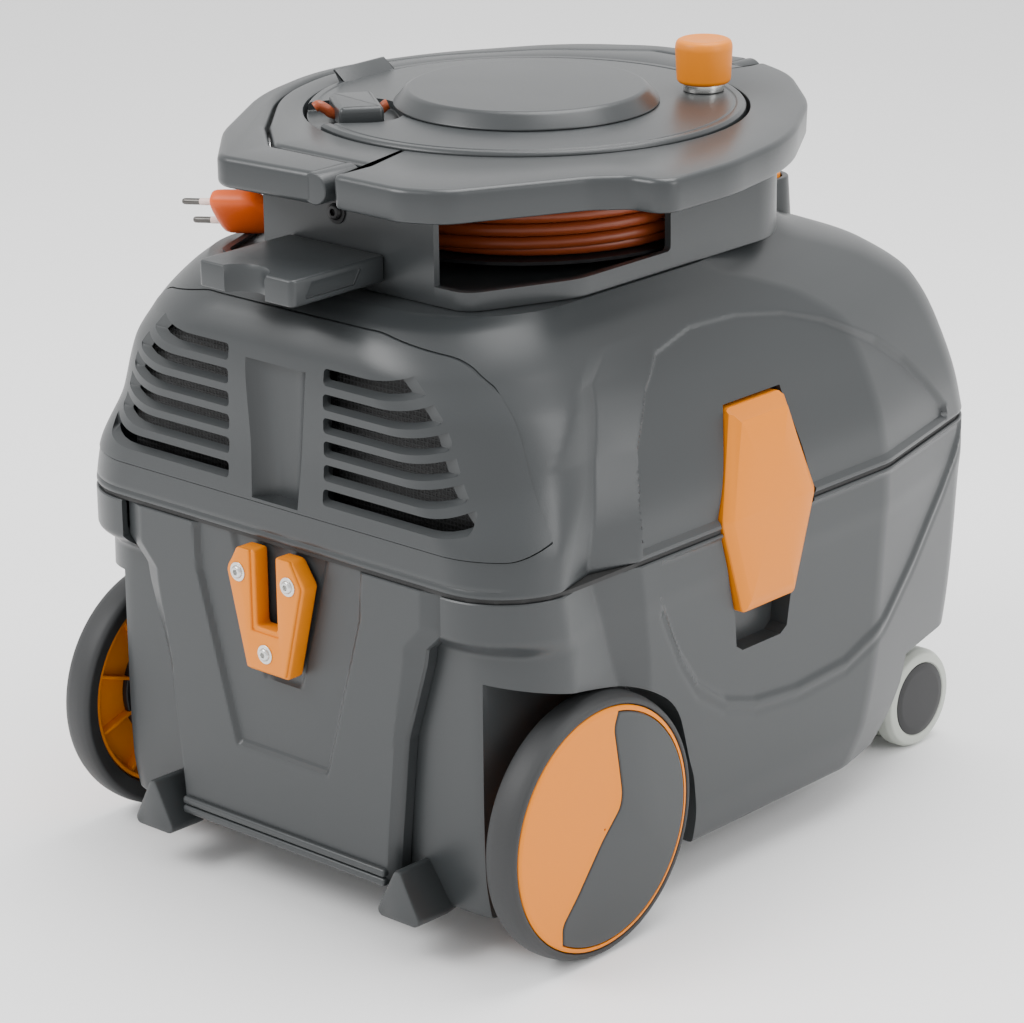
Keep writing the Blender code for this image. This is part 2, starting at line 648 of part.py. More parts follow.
cover = place("exhaust_cover", loft_mesh(body_rings(HEAD_STATIONS)), GREY, parent=head)
small = 1 - FIT / 0.09
cover_blank = place("cover_blank", slab_mesh([cover_outline], BEHIND_Y, COVER_WALL_Y - FIT, "Y"))
cover_blank.scale = (small, 1, small)
cover_blank.location = (0, 0, (1 - small) * (COVER_LOW_Z + COVER_TOP_Z) / 2)
boolean(cover, cover_blank, "INTERSECT")
cover_room = place("cover_room", loft_mesh(body_rings(HEAD_STATIONS, 0.004)))
cover_inside = place(
    "cover_inside",
    slab_mesh([rounded([(0.146, 0.257, 0.01), (0.146, 0.314, 0.02), (0.100, 0.350, 0.02),
        (-0.100, 0.350, 0.02),
                        (-0.146, 0.314, 0.02), (-0.146, 0.257, 0.01)], 2)], BEHIND_Y, -0.180, "Y"),
)
boolean(cover_room, cover_inside, "INTERSECT")
CHANNEL_FLOOR_Y = REAR_Y + 0.0145
channel_liner = place("channel_liner", box_mesh((-0.0315, BEHIND_Y, 0.20),
    (0.0315, CHANNEL_FLOOR_Y + 0.0035, 0.342)))
boolean(cover_room, channel_liner)
boolean(cover, cover_room)
channel = [(-0.0195, 0.24), (0.0195, 0.24), (0.0195, 0.256), (0.0284, 0.337), (-0.0284, 0.337),
    (-0.0195, 0.256)]
boolean(cover, place("channel", slab_mesh([channel], BEHIND_Y, CHANNEL_FLOOR_Y, "Y")))
SLOTS = 5
SLOT_RISE = 0.0165
SLOT_HEIGHT = 0.0065
SLOT_FIRST_Z = 0.264
SLOT_FLOOR_Y = -0.2205
for way in (1, -1):
    for row in range(SLOTS):
        z = SLOT_FIRST_Z + row * SLOT_RISE
        far = 0.143 - 0.0075 * row - (0.006 if row == SLOTS - 1 else 0.0)
        low, high = span(way, 0.037, far)
        boolean(cover, place("louvre_%d_%d" % (way, row),
            box_mesh((low, BEHIND_Y, z), (high, SLOT_FLOOR_Y, z + SLOT_HEIGHT))))
place("exhaust_filter", box_mesh((-0.120, -0.2065, 0.262), (0.120, COVER_WALL_Y - 2 * FIT, 0.326)), FOAM,
    parent=head)

# Motor deck closes the head from below; the motor hangs through it.
MOTOR_AT = (0.0, -0.040)
MOTOR_R = 0.062
DECK_Z = BELT_Z + 0.0022
DECK_T = 0.004
deck_plan = body_plan(BODY_HALF, REAR_Y, FRONT_Y, 0.050, 0.040, inset=0.0335)
deck = place("motor_deck", slab_mesh([deck_plan], DECK_Z, DECK_Z + DECK_T), BLACK, parent=head)
boolean(deck, place("motor_hole", rod_mesh(0.030, 0.2, 0.26, sides=32), at=(*MOTOR_AT, 0)))
place(
    "motor_unit",
    turned_mesh([
        (0.0, 0.346), (0.030, 0.346), (0.036, 0.340), (0.036, 0.306), (0.046, 0.300), (0.046, 0.288),
        (MOTOR_R, 0.282), (MOTOR_R, DECK_Z + DECK_T + FIT), (0.020, DECK_Z + DECK_T + FIT), (0.020, 0.258),
        (0.0, 0.258),
    ], 40),
    BLACK, at=(*MOTOR_AT, 0), parent=head,
)
place(
    "motor_filter",
    turned_mesh([
        (0.033, DECK_Z - FIT), (0.082, DECK_Z - FIT), (0.082, 0.212), (0.0, 0.212), (0.0, 0.218),
        (0.033, 0.218),
    ], 40),
    FOAM, at=(*MOTOR_AT, 0), parent=head,
)
gasket_outer = body_plan(BODY_HALF, REAR_Y, FRONT_Y, 0.050, 0.040, inset=0.0015)
gasket_inner = body_plan(BODY_HALF, REAR_Y, FRONT_Y, 0.050, 0.040, inset=0.0200)
gasket = place("main_gasket", slab_mesh([gasket_outer, gasket_inner], BELT_Z - 0.0012, BELT_Z + 0.0012),
    BLACK, parent=head)
for side, sign in (("right", 1), ("left", -1)):
    boolean(gasket, latch_pocket("gasket_latch_pocket_" + side, sign))

# Wand rest: a block on the rear of the column with a scoop for the tube.
REST_HALF = 0.038
REST_TOP_Z = 0.398
COLUMN_REAR_Y = -0.175
REST_REAR_Y = -0.2496
REST_LOW_Z = 0.3815
rest_data = box_mesh((-REST_HALF, REST_REAR_Y, REST_LOW_Z), (REST_HALF, COLUMN_REAR_Y - FIT, REST_TOP_Z))
rest = place("wand_rest", rest_data, GREY, parent=head)
boolean(rest, place("rest_scoop", rod_mesh(0.0175, 0.37, 0.41, sides=32), at=(0, -0.2560, 0)))

# Cable column with a window on each side.
COLUMN_TOP_Z = RING_Z - RING_T - FIT
COLUMN_HALF = 0.128
column_corners = [
    (0.100, COLUMN_REAR_Y, 0.015), (COLUMN_HALF, -0.110, 0.04), (COLUMN_HALF, 0.070, 0.05),
    (0.078, 0.1280, 0.05),
]
column_full = column_corners + [(-x, y, r) for x, y, r in reversed(column_corners)]


def shrunk(corners, wall):
    return [(x - math.copysign(wall, x), y - math.copysign(wall, y), max(r - wall, 0.004)) for x, y,
        r in corners]


column = place(
    "cable_column",
    slab_mesh([rounded(column_full), rounded(shrunk(column_full, 0.0045))], SHOULDER_Z + FIT, COLUMN_TOP_Z),
    GREY, parent=head,
)
WINDOW_FRONT_Y = -0.030
for side, sign, edge, sill_z in (("right", 1, 0.076, FLANGE_Z + 0.0035),
    ("left", -1, 0.060, SHOULDER_Z + 0.0030)):
    low, high = span(sign, edge, 0.14)
    window = place(
        "window_" + side, box_mesh((low, -0.19, sill_z), (high, WINDOW_FRONT_Y, COLUMN_TOP_Z - 0.003)),
    )
    boolean(column, window)

# Top ring: bored for the disc, with a ledge below it, and cut back on the left for the carry handle.
ring_right = [
    (0.033, -0.2115, 0.003), (0.084, -0.2115, 0.020), (0.108, -0.2000, 0.020), (0.148, -0.1240, 0.020),
    (0.164, -0.1085, 0.010), (0.188, -0.1050, 0.012), (0.188, -0.0450, 0.050), (0.174, 0.0250, 0.060),
    (0.123, 0.1060, 0.060), (0.068, 0.1590, 0.040), (0.033, 0.1740, 0.003),
]
ring_left = [
    (0.033, 0.1560, 0.001), (-0.040, 0.1560, 0.010), (-0.094, 0.1180, 0.020), (-0.138, 0.0600, 0.060),
    (-0.160, -0.0115, 0.080), (-0.138, -0.0830, 0.060), (-0.082, -0.1470, 0.020), (-0.045, -0.1795, 0.010),
    (0.033, -0.1795, 0.001),
]
ring = place("top_ring", slab_mesh([rounded(ring_right + ring_left, 4)], RING_Z - RING_T, RING_Z), GREY,
    parent=head)
boolean(ring, place("ring_bore", rod_mesh(RING_BORE, RING_Z - 0.012, RING_Z + 0.01, sides=56),
    at=(0, REEL_Y, 0)))
boolean(ring, place("ledge_bore", rod_mesh(LEDGE_R, RING_Z - 0.03, RING_Z + 0.01, sides=56),
    at=(0, REEL_Y, 0)))
place(
    "ring_screw_rear", turned_mesh([
        (0.0, -0.0030), (0.0045, -0.0030), (0.0055, -0.0020), (0.0055, -0.0003), (0.0, -0.0003)], 20, "Y"),
    BLACK, at=(0, COLUMN_REAR_Y, 0.4165), parent=head,
)
place(
    "ring_screw_right", turned_mesh([
        (0.0, 0.0030), (0.0045, 0.0030), (0.0055, 0.0020), (0.0055, 0.0003), (0.0, 0.0003)], 20, "X"),
    BLACK, at=(COLUMN_HALF, 0.0150, 0.4180), parent=head,
)

# Carry handle: a C that lies round the left of the ring and lifts about a line along Y.
HANDLE_MID_Z = RING_Z - RING_T / 2
HANDLE_T = RING_T - 0.001
handle_outer = [
    (HANDLE_X, 0.1800, 0.001), (-0.052, 0.1740, 0.030), (-0.104, 0.1420, 0.040), (-0.150, 0.0680, 0.060),
    (-0.174, -0.0115, 0.080), (-0.150, -0.0900, 0.060), (-0.098, -0.1700, 0.040), (-0.052, -0.2185, 0.014),
    (HANDLE_X, -0.2130, 0.001),
]
handle_inner = [
    (HANDLE_X, -0.1795 - HANDLE_GAP, 0.001), (-0.046, -0.1795 - HANDLE_GAP, 0.010), (-0.084, -0.1490, 0.020),
    (-0.1405, -0.0840, 0.060), (-0.1630, -0.0115, 0.080), (-0.1405, 0.0615, 0.060), (-0.096, 0.1200, 0.020),
    (-0.041, 0.1560 + HANDLE_GAP, 0.010), (HANDLE_X, 0.1560 + HANDLE_GAP, 0.001),
]
handle_data = slab_mesh([rounded(handle_outer + handle_inner, 4)], -HANDLE_T / 2, HANDLE_T / 2)
handle_data.transform(Matrix.Translation((-HANDLE_X, 0, 0)))
handle = place("carry_handle", handle_data, GREY, at=(HANDLE_X, 0, HANDLE_MID_Z), parent=head)
for label, low, high in (("rear", -0.2130, -0.1795 - HANDLE_GAP), ("front", 0.1560 + HANDLE_GAP, 0.1795)):
    knuckle = place("handle_knuckle_" + label, rod_mesh(HANDLE_T / 2 - 0.0001, low, high, "Y", 24),
        at=(HANDLE_X, 0, HANDLE_MID_Z))
    boolean(handle, knuckle, "UNION")
    inner, outer = (high + 0.0065, low + 0.006) if label == "rear" else (low - 0.0065, high - 0.006)
    low_y, high_y = min(inner, outer), max(inner, outer)
    place("handle_pin_" + label, rod_mesh(HANDLE_PIN_R, low_y, high_y, "Y", 20), STEEL,
        at=(HANDLE_X, 0, HANDLE_MID_Z), parent=head)
    pin_hole = place(
        "handle_pin_hole_" + label, rod_mesh(HANDLE_PIN_R + FIT, low_y - FIT, high_y + FIT, "Y", 20),
            at=(HANDLE_X, 0, HANDLE_MID_Z),
    )
    boolean(handle, pin_hole)
    boolean(ring, pin_hole)

# Power button in a boss on the front shoulder of the head.
BUTTON_AT = (0.045, 0.160)
BUTTON_R = 0.011
boss = place(
    "button_boss", turned_mesh([
        (BUTTON_R + 0.0012, 0.340), (0.018, 0.340), (0.016, 0.3815), (BUTTON_R + 0.0012, 0.3815)], 32),
    at=(*BUTTON_AT, 0),
)

# ---------------------------------------------------------------- reel
reel = empty("reel", (0, REEL_Y, 0), head)
place(
    "reel_spindle",
    turned_mesh([
        (0.0, SHOULDER_Z + FIT), (0.030, SHOULDER_Z + FIT), (0.030, SHOULDER_Z + 0.0045),
        (0.010, SHOULDER_Z + 0.0045),
        (0.010, 0.440), (0.0, 0.440),
    ], 32),
    STEEL, at=(0, REEL_Y, 0), parent=head,
)
drum_top = DISC_Z - DISC_T - FIT
place(
    "reel_drum",
    turned_mesh([
        (0.0105, FLANGE_Z + 0.001), (0.014, FLANGE_Z), (FLANGE_R, FLANGE_Z), (FLANGE_R, FLANGE_Z + FLANGE_T),
        (DRUM_R, FLANGE_Z + FLANGE_T), (DRUM_R, drum_top), (DRUM_R - 0.003, drum_top),
        (DRUM_R - 0.003, FLANGE_Z + 0.004), (0.014, FLANGE_Z + 0.004), (0.014, 0.438), (0.0105, 0.438),
    ], 36),
    BLACK, parent=reel,
)
disc = place(
    "crank_disc",
    turned_mesh([
        (0.0, DISC_Z - DISC_T), (DISC_R - 0.001, DISC_Z - DISC_T), (DISC_R, DISC_Z - DISC_T + 0.001),
        (DISC_R, DISC_Z - 0.0015), (DISC_R - 0.0015, DISC_Z), (0.0, DISC_Z),
    ], 56),
    GREY, parent=reel,
)
# Pocket for the cord clamp, tangential at the rear left of the disc, open at the rim.
POCKET_DIRECTION = math.atan2(-0.797, -0.604)
POCKET_MIDDLE = 0.103
POCKET_DEPTH = 0.0055
pocket_outline = rounded([(-0.026, -0.038, 0.022), (0.034, -0.026, 0.016), (0.034, 0.026, 0.016),
    (-0.026, 0.038, 0.022)], 4)
pocket_turn = (0, 0, POCKET_DIRECTION)
pocket_at = (POCKET_MIDDLE * math.cos(POCKET_DIRECTION), POCKET_MIDDLE * math.sin(POCKET_DIRECTION), 0)
boolean(disc, place("clamp_pocket", slab_mesh([pocket_outline], DISC_Z - POCKET_DEPTH, DISC_Z + 0.01),
    at=pocket_at, turn=pocket_turn, parent=reel))
clamp = place(
    "cord_clamp", box_mesh((-0.0135, -0.022, DISC_Z - POCKET_DEPTH + FIT),
        (0.0135, 0.022, DISC_Z + 0.0065)), GREY,
    at=pocket_at, turn=pocket_turn, parent=reel,
)
boolean(clamp, place("clamp_channel", box_mesh((-0.02, -0.0045, DISC_Z - 0.008),
    (0.02, 0.0045, DISC_Z + 0.0044)), at=pocket_at, turn=pocket_turn, parent=reel))

# Guide tab on the rim of the disc: it leans out over the ring.
TAB_ANGLE = math.radians(183)
tab_outline = [(-0.0075, -0.0035), (0.0045, 0.0065), (0.0060, 0.0065), (0.0020, 0.0010), (0.0, -0.0035)]
tab = place(
    "guide_tab", slab_mesh([tab_outline], -0.0235, 0.0235, "Y"), at=(
        (DISC_R - 0.0035) * math.cos(TAB_ANGLE), (DISC_R - 0.0035) * math.sin(TAB_ANGLE), DISC_Z),
    turn=(0, 0, TAB_ANGLE), parent=reel,
)
boolean(disc, tab, "UNION")
place(
    "disc_cap",
    turned_mesh([(0.0, DISC_Z + FIT), (CAP_R, DISC_Z + FIT), (CAP_R, DISC_Z + 0.001),
        (CAP_TOP_R, DISC_Z + CAP_H - 0.001),
                 (CAP_TOP_R - 0.003, DISC_Z + CAP_H), (0.0, DISC_Z + CAP_H)], 56),
    GREY, parent=reel,
)
knob_local = (KNOB_AT[0], KNOB_AT[1] - REEL_Y, 0)
place(
    "knob_pin",
    turned_mesh([(0.0, DISC_Z + FIT), (0.0125, DISC_Z + FIT), (0.0125, KNOB_Z - FIT), (0.004, KNOB_Z - FIT),
                 (0.004, KNOB_Z + 0.018), (0.0, KNOB_Z + 0.018)], 24),
    STEEL, at=knob_local, parent=reel,
)
place(
    "crank_knob",
    turned_mesh([
        (0.0043, KNOB_Z), (KNOB_R - 0.003, KNOB_Z), (KNOB_R - 0.0012, KNOB_Z + 0.0015),
        (KNOB_R, KNOB_Z + KNOB_H - 0.004),
        (KNOB_R - 0.0012, KNOB_Z + KNOB_H - 0.0012), (KNOB_R - 0.004, KNOB_Z + KNOB_H),
        (0.0, KNOB_Z + KNOB_H),
        (0.0, KNOB_Z + 0.0185), (0.0043, KNOB_Z + 0.0185),
    ], 40),
    ORANGE, at=knob_local, parent=reel,
)


def tube(name, route, radius, finish, resolution=2, **where):
    """A cord along a smooth curve through hand-chosen points, as a poly spline."""
    points = [Vector(p) for p in route]
    points = [points[0] * 2 - points[1]] + points + [points[-1] * 2 - points[-2]]
    smooth = []
    for i in range(1, len(points) - 2):
        a, b, c, d = points[i - 1:i + 3]
        steps = max(1, round((c - b).length / (radius * 4)))
        for k in range(steps):
            t = k / steps
            square = 2 * a - 5 * b + 4 * c - d
            cube = 3 * b - a - 3 * c + d
            smooth.append(0.5 * (2 * b + (c - a) * t + square * t * t + cube * t ** 3))
    smooth.append(points[-2])
    curve = bpy.data.curves.new(name, "CURVE")
    curve.dimensions = "3D"
    curve.bevel_depth = radius
    curve.bevel_resolution = resolution
    curve.use_fill_caps = True
    spline = curve.splines.new("POLY")
    spline.points.add(len(smooth) - 1)
    for point, co in zip(spline.points, smooth):
        point.co = (*co, 1)
    return place(name, curve, finish, **where)


loop_route = [
    (-0.0190, 0, 0.0035), (-0.0175, 0, 0.0028), (-0.0145, 0, 0.0004), (-0.0105, 0, -0.0010),
    (0.0120, 0, -0.0010), (0.0180, 0, 0.0022), (0.0225, 0, 0.0048), (0.0250, 0, 0.0035),
]
tube("cord_loop", loop_route, 0.0032, CORD, at=(pocket_at[0], pocket_at[1], DISC_Z - 0.0005),
    turn=pocket_turn, parent=reel)

# ---------------------------------------------------------------- latches
for side, sign in (("right", 1), ("left", -1)):
    pin_at = Vector((sign * (LATCH_TOP_X - LATCH_T + 0.0035), LATCH_Y, LATCH_TOP_Z - 0.0050))
    latch_data = loft_mesh(latch_rings(sign))
    latch_data.transform(Matrix.Translation(-pin_at))
    latch = place("latch_" + side, latch_data, ORANGE, at=pin_at, parent=head)
    pin_half = LATCH_END_HALF + 0.0040
    place("latch_pin_" + side, rod_mesh(LATCH_PIN_R, -pin_half, pin_half, "Y", 16), STEEL, at=pin_at,
        parent=head)
    pin_bore = place("latch_bore_" + side,
        rod_mesh(LATCH_PIN_R + FIT, -pin_half - FIT, pin_half + FIT, "Y", 16), at=pin_at)
    boolean(latch, pin_bore)
    boolean(housing, pin_bore)

# ---------------------------------------------------------------- mains cord
wind_low = FLANGE_Z + FLANGE_T + 0.0008
wind_high = wind_low + CORD_ROWS * CORD_PITCH
wind_outer = DRUM_R + WIND_FIT + CORD_LAYERS * CORD_PITCH
wind_inner = DRUM_R + WIND_FIT
place(
    "cord_winding",
    turned_mesh([(wind_inner, wind_low), (wind_outer, wind_low), (wind_outer, wind_high),
        (wind_inner, wind_high)], 48),
    CORD, at=(0, REEL_Y, 0), parent=head,
)
plug_along = Vector((-0.93, -0.36, -0.06)).normalized()
plug_back = Vector((-0.0910, -0.1340, 0.3930))
lead_route = [
    (-0.1165, REEL_Y - 0.0100, 0.4060), (-0.1172, REEL_Y - 0.0300, 0.4060), (-0.1140, -0.0620, 0.4055),
    (-0.1030, -0.0880, 0.4040),
    (-0.0850, -0.1080, 0.4010), (-0.0700, -0.1200, 0.3965), tuple(plug_back - plug_along * 0.0100),
    tuple(plug_back - plug_along * FIT),
]
tube("cord_lead", lead_route, CORD_D / 2, CORD, 3, parent=head)

# Two-pin plug, parked in the left window with its pins pointing out to the rear left.
PIN_SPACING = 0.019
PIN_R = 0.0022
plug_up = Vector((-0.20, 0.62, -0.75))
plug_up = (plug_up - plug_up.dot(plug_along) * plug_along).normalized()
plug_side = plug_up.cross(plug_along)
plug_frame = Matrix((plug_along, plug_side, plug_up)).transposed()
plug_rings = []
for x, grow in ((0.0, 0.55), (0.006, 0.72), (0.012, 0.98), (0.034, 1.0), (0.038, 0.90)):
    corners = [(0.0, 0.0175), (0.0072, 0.0110), (0.0072, -0.0110), (0.0, -0.0175), (-0.0072, -0.0110),
        (-0.0072, 0.0110)]
    plug_rings.append([(x, u * grow, v * grow) for u, v in corners])
plug_turn = plug_frame.to_euler()
plug = place("mains_plug", loft_mesh(plug_rings), CORD, at=plug_back, turn=plug_turn, parent=head)
for k, way in enumerate((1, -1)):
    pin = place(
        "plug_prong_%d" % k, rod_mesh(PIN_R, 0.036, 0.059, "X", 16),
        at=plug_back + plug_up * (way * PIN_SPACING / 2), turn=plug_turn, parent=head,
    )
    boolean(plug, pin, "UNION")

# ---------------------------------------------------------------- power button
boolean(housing, boss, "UNION")
boolean(housing, place("button_well", rod_mesh(BUTTON_R + 0.0012, 0.362, 0.39, sides=32),
    at=(*BUTTON_AT, 0)))
place(
    "power_button",
    turned_mesh([(0.0, 0.3668), (BUTTON_R, 0.3668), (BUTTON_R, 0.3835), (BUTTON_R - 0.001, 0.3845),
        (0.0, 0.3845)], 32),
    ORANGE, at=(*BUTTON_AT, 0), parent=head,
)
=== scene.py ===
import json
import math

import bpy
import numpy as np
from mathutils import Matrix, Vector

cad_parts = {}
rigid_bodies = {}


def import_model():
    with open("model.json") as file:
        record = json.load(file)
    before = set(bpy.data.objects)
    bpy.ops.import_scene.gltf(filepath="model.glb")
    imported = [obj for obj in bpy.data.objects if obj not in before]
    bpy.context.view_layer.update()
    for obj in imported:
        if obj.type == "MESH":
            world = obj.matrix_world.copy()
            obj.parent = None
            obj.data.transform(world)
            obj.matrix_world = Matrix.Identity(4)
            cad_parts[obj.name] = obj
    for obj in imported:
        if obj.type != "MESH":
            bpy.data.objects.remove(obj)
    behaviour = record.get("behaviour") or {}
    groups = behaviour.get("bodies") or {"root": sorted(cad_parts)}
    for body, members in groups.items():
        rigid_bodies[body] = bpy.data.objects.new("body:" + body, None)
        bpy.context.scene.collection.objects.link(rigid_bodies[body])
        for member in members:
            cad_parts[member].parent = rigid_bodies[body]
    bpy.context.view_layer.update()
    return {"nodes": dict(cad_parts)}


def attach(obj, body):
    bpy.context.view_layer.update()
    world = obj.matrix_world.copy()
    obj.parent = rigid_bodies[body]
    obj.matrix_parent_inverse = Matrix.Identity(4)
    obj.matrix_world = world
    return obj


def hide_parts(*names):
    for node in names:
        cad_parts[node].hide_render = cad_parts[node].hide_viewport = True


for old in list(bpy.data.objects):
    bpy.data.objects.remove(old, do_unlink=True)
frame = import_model()
print("frame loaded")

bothSides = ((1, "Right"), (-1, "Left"))
tiny = 1e-9  # keeps a length from being divided by zero


# Mesh helpers: a surface is an array of points [row, column, xyz].

def gridFaces(rows, columns, wrapRows, wrapColumns):
    # corner numbers of the quads between neighbouring rows and columns
    r = np.arange(rows if wrapRows else rows - 1)
    c = np.arange(columns if wrapColumns else columns - 1)
    r, c = (a.ravel() for a in np.meshgrid(r, c, indexing="ij"))
    rNext = (r + 1) % rows
    cNext = (c + 1) % columns
    return np.stack([r * columns + c, r * columns + cNext,
                     rNext * columns + cNext, rNext * columns + c], 1)


def enclosedVolume(points, faces):
    # sum of the signed tetrahedra between the middle point and each triangle of each face
    total = 0.0
    middle = points.mean(0)
    quads = np.array([f for f in faces if len(f) == 4])
    corners = [quads[:, [0, 1, 2]], quads[:, [0, 2, 3]]]
    for face in faces:
        if len(face) != 4:
            fan = np.array(face)
            corners.append(np.stack([np.full(len(fan) - 2, fan[0]), fan[1:-1], fan[2:]], 1))
    for triangles in corners:
        a, b, c = (points[triangles[:, k]] - middle for k in range(3))
        total += float(np.einsum("ij,ij->i", a, np.cross(b, c)).sum())
    return total


def smoothShade(mesh, degrees=32):
    mesh.shade_smooth()
    mesh.set_sharp_from_angle(angle=math.radians(degrees))


def newPiece(name, surfaces, sharp=32):
    # surfaces: (points, wrapRows, wrapColumns, capFirst, capLast) each
    # their faces are turned outwards
    allPoints, allFaces, start = [], [], 0
    for points, wrapRows, wrapColumns, capFirst, capLast in surfaces:
        rows, columns = points.shape[:2]
        flat = points.reshape(-1, 3)
        faces = gridFaces(rows, columns, wrapRows, wrapColumns).tolist()
        if capFirst:
            faces.append(np.arange(columns)[::-1].tolist())
        if capLast:
            faces.append((np.arange(columns) + (rows - 1) * columns).tolist())
        if enclosedVolume(flat, faces) < 0:
            faces = [face[::-1] for face in faces]
        allPoints.append(flat)
        allFaces += [[corner + start for corner in face] for face in faces]
        start += rows * columns
    mesh = bpy.data.meshes.new(name)
    mesh.from_pydata(np.concatenate(allPoints).tolist(), [], allFaces)
    mesh.update()
    smoothShade(mesh, sharp)
    piece = bpy.data.objects.new(name, mesh)
    bpy.context.scene.collection.objects.link(piece)
    return piece


def onAxis(points, axis, centre):
    # local (u, v, w): w runs along the axis, u and v along the other two in order
    order = {"Z": (0, 1, 2), "X": (2, 0, 1), "Y": (0, 2, 1)}[axis[-1]]
    placed = np.asarray(points)[..., list(order)].copy()
    if axis[0] == "-":
        placed[..., "XYZ".index(axis[1])] *= -1
    return placed + np.asarray(centre)


def softProfile(points, radius, steps=4, closed=False):
    # each corner becomes a quadratic curve that leaves both its sides at the given distance,
    # or at less where a side is short
    mostOfSide = 0.45
    points = np.asarray(points, float)
    count = len(points)
    out = []
    for i in range(count):
        if not closed and i in (0, count - 1):
            out.append(points[i])
            continue
        here = points[i]
        back = points[i - 1] - here
        ahead = points[(i + 1) % count] - here
        reach = min(np.hypot(*back), np.hypot(*ahead)) * mostOfSide
        cut = min(radius, reach)
        first = here + back / max(np.hypot(*back), tiny) * cut
        last = here + ahead / max(np.hypot(*ahead), tiny) * cut
        t = np.linspace(0, 1, steps + 1)[:, None]
        out.extend((1 - t) ** 2 * first + 2 * t * (1 - t) * here + t ** 2 * last)
    return np.array(out)


def turned(profile, axis, centre, sides=96, closed=False):
    # profile points (radius, station) carried round the axis on circles
    profile = np.asarray(profile, float)
    angle = np.arange(sides) * 2 * np.pi / sides
    ring = np.stack([np.cos(angle), np.sin(angle)], 1)
    points = np.empty((len(profile), sides, 3))
    points[..., :2] = profile[:, None, :1] * ring[None]
    points[..., 2] = profile[:, 1:2]
    return onAxis(points, axis, centre), closed, True, not closed, not closed


def resample(points, count):
    # even steps round a closed polyline
    points = np.vstack([points, points[:1]])
    distance = np.concatenate([[0], np.cumsum(np.linalg.norm(np.diff(points, axis=0), axis=1))])
    wanted = np.linspace(0, distance[-1], count + 1)[:-1]
    return np.stack([np.interp(wanted, distance, points[:, k]) for k in range(points.shape[1])], 1)


def smoothCurve(points, steps):
    # Catmull-Rom curve through the points of an open line
    points = np.asarray(points, float)
    p = np.vstack([2 * points[0] - points[1], points, 2 * points[-1] - points[-2]])
    t = np.linspace(0, 1, steps, endpoint=False)[:, None]
    out = []
    for a, b, c, d in zip(p, p[1:], p[2:], p[3:]):
        bend = 2 * a - 5 * b + 4 * c - d
        twist = 3 * b - a - 3 * c + d
        out.append(0.5 * (2 * b + (c - a) * t + bend * t ** 2 + twist * t ** 3))
    return np.vstack(out + [points[-1:]])


def inset(outline, distance):
    # each point of a closed outline moved inwards along the mean of its sides' normals,
    # further at a corner, up to the least cosine
    leastCosine = 0.35
    before = outline - np.roll(outline, 1, 0)
    after = np.roll(outline, -1, 0) - outline
    before /= np.maximum(np.linalg.norm(before, axis=1, keepdims=True), 1e-12)
    after /= np.maximum(np.linalg.norm(after, axis=1, keepdims=True), 1e-12)
    u, v = outline[:, 0], outline[:, 1]
    area = np.sum(u * np.roll(v, -1) - v * np.roll(u, -1))
    normal = np.stack([-(before + after)[:, 1], (before + after)[:, 0]], 1) * np.sign(area)
    normal /= np.maximum(np.linalg.norm(normal, axis=1, keepdims=True), 1e-12)
    square = np.stack([-before[:, 1], before[:, 0]], 1) * np.sign(area)
    across = np.maximum(np.einsum("ij,ij->i", normal, square), leastCosine)
    return outline + normal * (distance / across)[:, None]


def plate(outline, low, high, edge, axis="Z", centre=(0, 0, 0), steps=4, topEdge=None):
    # a flat (u, v) outline with thickness along w; rows of insets make its quarter-round edges
    topEdge = edge if topEdge is None else topEdge
    outline = np.asarray(outline, float)
    rows = []
    for k in range(steps + 1):
        a = k / steps * math.pi / 2
        rows.append((edge * (1 - math.sin(a)), low + edge * (1 - math.cos(a))))
    for k in range(steps + 1):
        a = k / steps * math.pi / 2
        rows.append((topEdge * (1 - math.cos(a)), high - topEdge * (1 - math.sin(a))))
    points = np.empty((len(rows), len(outline), 3))
    for i, (offset, station) in enumerate(rows):
        points[i, :, :2] = inset(outline, offset)
        points[i, :, 2] = station
    return onAxis(points, axis, centre), False, True, True, True


def band(inner, outer, low, high, edge, steps=3):
    # a flat ring between two outlines with equal counts
    # its section is a rectangle with round corners
    width = np.linalg.norm(outer - inner, axis=1)[:, None]
    section = []
    for (u, w), first in (((1, 0), 0), ((1, 1), 1), ((0, 1), 2), ((0, 0), 3)):
        for k in range(steps + 1):
            a = (first - 1 + k / steps) * math.pi / 2
            section.append((u, w, math.cos(a), math.sin(a)))
    points = np.empty((len(inner), len(section), 3))
    direction = (outer - inner) / np.maximum(width, tiny)
    for j, (u, w, cosine, sine) in enumerate(section):
        along = u * width + edge * (cosine - (1 if u else -1))
        points[:, j, :2] = inner + direction * along
        points[:, j, 2] = (high if w else low) + edge * (sine - (1 if w else -1))
    return points, True, True, False, False


def sweep(path, radius, sides=12):
    # circles carried along a path, square to it; the radius may change along the path
    ahead = np.gradient(path, axis=0)
    ahead /= np.linalg.norm(ahead, axis=1, keepdims=True)
    side = np.cross(ahead, np.array([0.0, 0, 1]))
    side /= np.linalg.norm(side, axis=1, keepdims=True)
    over = np.cross(side, ahead)
    angle = np.arange(sides) * 2 * np.pi / sides
    radius = np.broadcast_to(np.asarray(radius, float), len(path))[:, None, None]
    cosine, sine = (f(angle)[None, :, None] for f in (np.cos, np.sin))
    ring = side[:, None] * cosine + over[:, None] * sine
    return path[:, None] + ring * radius, False, True, True, True


